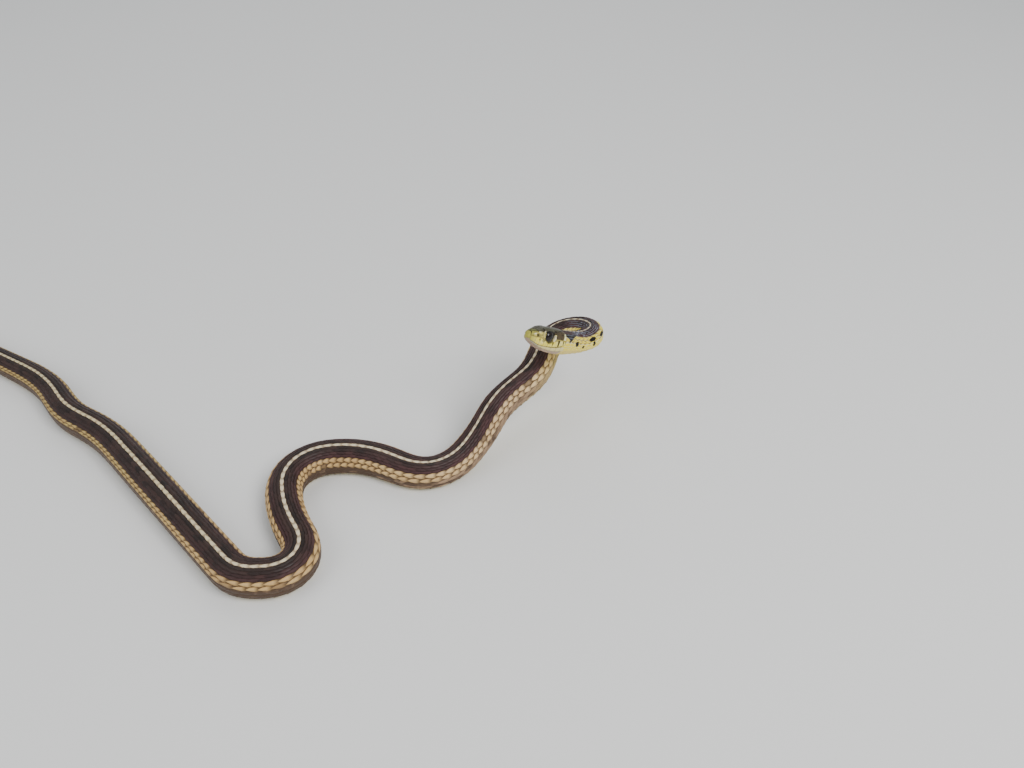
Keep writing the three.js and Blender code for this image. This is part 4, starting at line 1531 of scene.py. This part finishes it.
    def edge_of(self, shield: Shield, side: float) -> tuple[Array, Array]:
        """A shield's rounded edge and its centre, in the plane it is laid out in.

        Args:
            shield: The shield.
            side: 1 for the left, -1 for the right.

        Returns:
            Edge points and centre, as distance and angle, or around the tip of the snout.
        """
        corners = np.array(shield.corners, float) * (1.0, side)
        if shield.on_snout:
            turn = np.radians(corners[:, 1])
            corners = corners[:, :1] * np.stack([np.cos(turn), np.sin(turn)], axis=-1)
        centre = np.array([NOSTRIL.at, side * NOSTRIL.angle]) if shield.nostril else corners.mean(axis=0)
        edge = []
        for a, b in zip(corners, np.roll(corners, -1, axis=0)):
            ends = self.form.surface(*self.on_head(np.stack([a, b]), shield).T) / MM
            parts = max(2, round(float(np.linalg.norm(ends[1] - ends[0])) / self.edge_step))
            edge.append(a + (b - a) * (np.arange(parts) / parts)[:, None])
        edge = np.concatenate(edge)
        for _ in range(2):
            edge = 0.5 * edge + 0.25 * (np.roll(edge, 1, axis=0) + np.roll(edge, -1, axis=0))
        return edge, centre

    @staticmethod
    def on_head(plane: Array, shield: Shield) -> Array:
        """Distance and angle of points in a shield's plane."""
        if not shield.on_snout:
            return plane
        turn = np.degrees(np.arctan2(plane[..., 1], plane[..., 0]))
        return np.stack([np.hypot(plane[..., 0], plane[..., 1]), turn], axis=-1)

    def rings(
        self, shield: Shield, edge: Array, centre: Array, reach: Array
    ) -> list[tuple[Array, float, float]]:
        """The rings of vertices of a shield, from its sunk edge inward.

        Args:
            shield: The shield.
            edge: Points of its rounded edge.
            centre: Its centre.
            reach: Distance in millimetres from the centre to each point of the edge.

        Returns:
            For each ring its share of the way from the centre to each point of the edge, its height and
            its rim or pit.
        """
        lift = shield.lift
        rings = [(1.0 - self.seam / reach, -self.root, 1.0)]
        rings += [(1.0 - (self.seam + inset) / reach, lift * up, rim) for inset, up, rim in self.edge_rings]
        if shield.nostril:
            steep = np.abs(edge[:, 1] - centre[1]) * math.radians(self.form.half_widths.at(NOSTRIL.at))
            radius = NOSTRIL.radius * (1.0 + NOSTRIL.tall * np.minimum(steep / reach, 1.0) ** 2)
            for size, up, pit in self.nostril_rings:
                rings.append((np.minimum(radius * size / reach, self.nostril_limit), lift * up, pit))
        else:
            for size, part in self.top_rings:
                rings.append((np.full(len(edge), size), lift + part * self.crown, 0.0))
        return rings

    @staticmethod
    def faces(count: int, layers: int) -> tuple[Array, Array]:
        """Quads between rings of count vertices, and triangles from the innermost ring to the centre."""
        here = np.arange(count)
        after = np.roll(here, -1)
        band = np.stack([here, after, after + count, here + count], axis=-1)
        quads = np.concatenate([band + k * count for k in range(layers - 1)])
        last = (layers - 1) * count
        return quads, np.stack([last + here, last + after, np.full(count, layers * count)], axis=-1)

    def add(self, shape: Shape, shield: Shield, side: float, chance: float) -> None:
        """Adds one crowned plate.

        Args:
            shape: The shape that takes it.
            shield: Its outline.
            side: 1 for the left, -1 for the right.
            chance: A number of its own, from 0 to 1.
        """
        edge, centre = self.edge_of(shield, side)
        middle = self.form.surface(*self.on_head(centre, shield)) / MM
        reach = np.linalg.norm(self.form.surface(*self.on_head(edge, shield).T) / MM - middle, axis=-1)
        shares, heights, rims = zip(*self.rings(shield, edge, centre, reach))
        plane = centre + (edge - centre) * np.stack(shares)[..., None]
        s, turn = self.on_head(np.vstack([plane.reshape(-1, 2), centre]), shield).T
        heights = np.append(np.repeat(heights, len(edge)), heights[-1])
        rims = np.append(np.repeat(rims, len(edge)), float(shield.nostril))
        points = self.form.surface(s, turn, heights)
        quads, fan = self.faces(len(edge), len(shares))
        if self.turned_in(points, quads[-1], middle):
            quads, fan = quads[:, ::-1], fan[:, ::-1]
        limit = 180.0 if shield.on_snout or shield.paired else self.sheet.half_turn
        on_sheet = self.sheet.spot(s, turn - 360.0 * (turn > limit))
        shape.add(points, quads, on_sheet[quads], self.values(shield, s, turn, rims, chance))
        shape.add(np.zeros((0, 3)), fan - len(points), on_sheet[fan], {})

    def turned_in(self, points: Array, quad: Array, middle: Array) -> bool:
        """True if a top face looks into the head."""
        a, b, c = (points[k] for k in quad[:3])
        core = self.form.course.place(np.array(self.core_at))[0] * MM
        return bool(np.dot(np.cross(b - a, c - a), middle * MM - core) < 0.0)

    def values(self, shield: Shield, s: Array, turn: Array, rims: Array, chance: float) -> dict[str, Array]:
        """What the finish needs to know at each vertex of a shield.

        Args:
            shield: The shield.
            s: Distances of the vertices from the snout.
            turn: Their angles from the back.
            rims: Their rims or pits.
            chance: The shield's own number.

        Returns:
            Values by name, one for each vertex.
        """
        coloured = [zone for zone in Zone if zone is not Zone.CROWN]
        down = np.clip((np.abs(turn) - self.lip_top) / (MOUTH_LINE.at(s) - self.lip_top), 0.0, 1.0)
        seams, half, long = np.array(self.bars).T
        off = np.min(np.abs(s[:, None] - seams) / half + down[:, None] / long, axis=1)
        bar = smooth((1.0 - off) / self.bar_edge + 0.5) * float(shield.zone is Zone.LIP)
        near = np.hypot(s - NOSTRIL.at, (np.abs(turn) - NOSTRIL.angle) / self.pit_turn) < 1.0
        values = {"run": s, "turn": turn, "rim": rims, "chance": np.full(len(s), chance), "bar": bar}
        values |= {zone.value: np.full(len(s), float(zone is shield.zone)) for zone in coloured}
        # The pit value paints the inside of the nostril black as shade.
        return values | {"pit": rims * near * shield.nostril}

    def build(self) -> None:
        """Builds all the shields as one piece."""
        rng = np.random.default_rng(SEED + 5)
        shape = Shape()
        for shield in self.shields():
            for side in (1.0, -1.0) if shield.paired else (1.0,):
                self.add(shape, shield, side, float(rng.random()))
        self.hand_over(shape.build("head_shields", HeadFinish().material("head_shield")), "head_skin")


@dataclass
class Eyes(Piece):
    """Large eyes, each a slightly flattened ball."""

    out: float = 3.95
    up: float = 1.1
    half_length: float = 2.7
    half_height: float = 2.6
    half_depth: float = 2.0
    segments: int = 64
    ring_count: int = 40

    def build(self) -> None:
        """Builds both eyes in place of their nodes."""
        finish = EyeFinish().material("wet_eye")
        for side, node in ((1.0, "eye_left"), (-1.0, "eye_right")):
            self.one(side, f"{node}_ball", node, finish)

    def one(self, side: float, name: str, node: str, finish: bpy.types.Material) -> None:
        """Builds one eye.

        Args:
            side: 1 for the left, -1 for the right.
            name: Name of the piece.
            node: The node it stands for.
            finish: Its material.
        """
        centre, front, left, up = (Vector(v) for v in self.form.course.place(np.array(EYE_AT)))
        middle = (centre + left * side * self.out + up * self.up) * MM
        bpy.ops.object.select_all(action="DESELECT")
        bpy.ops.mesh.primitive_uv_sphere_add(segments=self.segments, ring_count=self.ring_count, radius=1.0)
        ball = bpy.context.object
        ball.name = name
        mesh = ball.data
        sizes = (self.half_length, self.half_height, self.half_depth)
        axes = Matrix([front, up, left * side]).transposed()
        away = [math.acos(max(-1.0, min(1.0, v.co.z))) for v in mesh.vertices]
        attribute = mesh.attributes.new("away", "FLOAT", "POINT")
        attribute.data.foreach_set("value", away)
        mesh.transform((axes @ Matrix.Diagonal(sizes)).to_4x4())
        mesh.transform(Matrix.Scale(MM, 4))
        mesh.transform(Matrix.Translation(middle))
        if side > 0:
            mesh.flip_normals()
        bpy.ops.object.shade_smooth()
        mesh.materials.append(finish)
        self.hand_over(ball, "eye", (node,))


@dataclass(frozen=True)
class Studio:
    """A pale floor, soft lights and the camera at the photo's viewing angle."""

    camera_at: Place = (0.18583, -0.3222, 0.312)
    pitch_down: float = 40.0
    lens: float = 31.64
    sensor: float = 36.0
    clip: float = 0.01
    floor_half: float = 3.0
    floor_colour: Colour = (0.80, 0.79, 0.77)
    floor_shade: Colour = (0.74, 0.73, 0.71)
    floor_grain: float = 0.2
    lights: tuple[tuple[str, Place, float, float], ...] = (
        ("key", (0.75, -0.55, 0.95), 0.6, 12.0),
        ("fill", (-0.7, -0.5, 0.8), 0.9, 4.5),
        ("back", (0.1, 0.95, 0.9), 0.9, 2.5),
    )
    aim: Place = (0.08, 0.0, 0.02)
    sky: float = 0.55
    sky_colour: Colour = (0.9, 0.95, 1.0)

    def build(self) -> None:
        """Adds floor, lights, sky and camera."""
        self.add_floor()
        for name, place, size, watts in self.lights:
            self.add_light(name, place, size, watts)
        world = bpy.data.worlds.new("sky")
        world.use_nodes = True
        background = world.node_tree.nodes["Background"]
        background.inputs["Color"].default_value = (*self.sky_colour, 1.0)
        background.inputs["Strength"].default_value = self.sky
        bpy.context.scene.world = world
        camera = bpy.data.cameras.new("camera")
        camera.lens = self.lens
        camera.sensor_width = self.sensor
        camera.clip_start = self.clip
        holder = bpy.data.objects.new("camera", camera)
        holder.location = self.camera_at
        holder.rotation_euler = (math.radians(90.0 - self.pitch_down), 0.0, 0.0)
        bpy.context.scene.collection.objects.link(holder)
        bpy.context.scene.camera = holder

    def add_floor(self) -> None:
        """Adds a plain pale floor."""
        bpy.ops.object.select_all(action="DESELECT")
        bpy.ops.mesh.primitive_plane_add(size=2.0 * self.floor_half)
        floor = bpy.context.object
        floor.name = "floor"
        g = Graph("pale_floor")
        soft = g.noise(self.floor_grain)
        colour = g.mix(soft * 0.15, self.floor_colour, self.floor_shade)
        floor.data.materials.append(g.surface(colour, 0.7 + soft * 0.1, None, {"Specular IOR Level": 0.2}))

    def add_light(self, name: str, place: Place, size: float, watts: float) -> None:
        """Adds one soft light that looks at the snake.

        Args:
            name: Its name.
            place: Its place, in metres.
            size: Length of its side, in metres.
            watts: Its power.
        """
        light = bpy.data.lights.new(name, "AREA")
        light.size = size
        light.energy = watts
        holder = bpy.data.objects.new(name, light)
        holder.location = place
        holder.rotation_euler = (Vector(self.aim) - Vector(place)).to_track_quat("-Z", "Y").to_euler()
        bpy.context.scene.collection.objects.link(holder)


def main() -> None:
    """Builds the snake piece by piece."""
    logging.basicConfig(level=logging.INFO, format="%(name)s: %(message)s")
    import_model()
    form = Form()
    parts = (form, BakeSheet(form.course.length), Bands())
    Skin(*parts).build()
    scales = Scales(*parts)
    scales.build()
    Scutes(*parts, scales).build()
    HeadShields(*parts).build()
    Eyes(*parts).build()
    Studio().build()


if __name__ == "__main__":
    main()
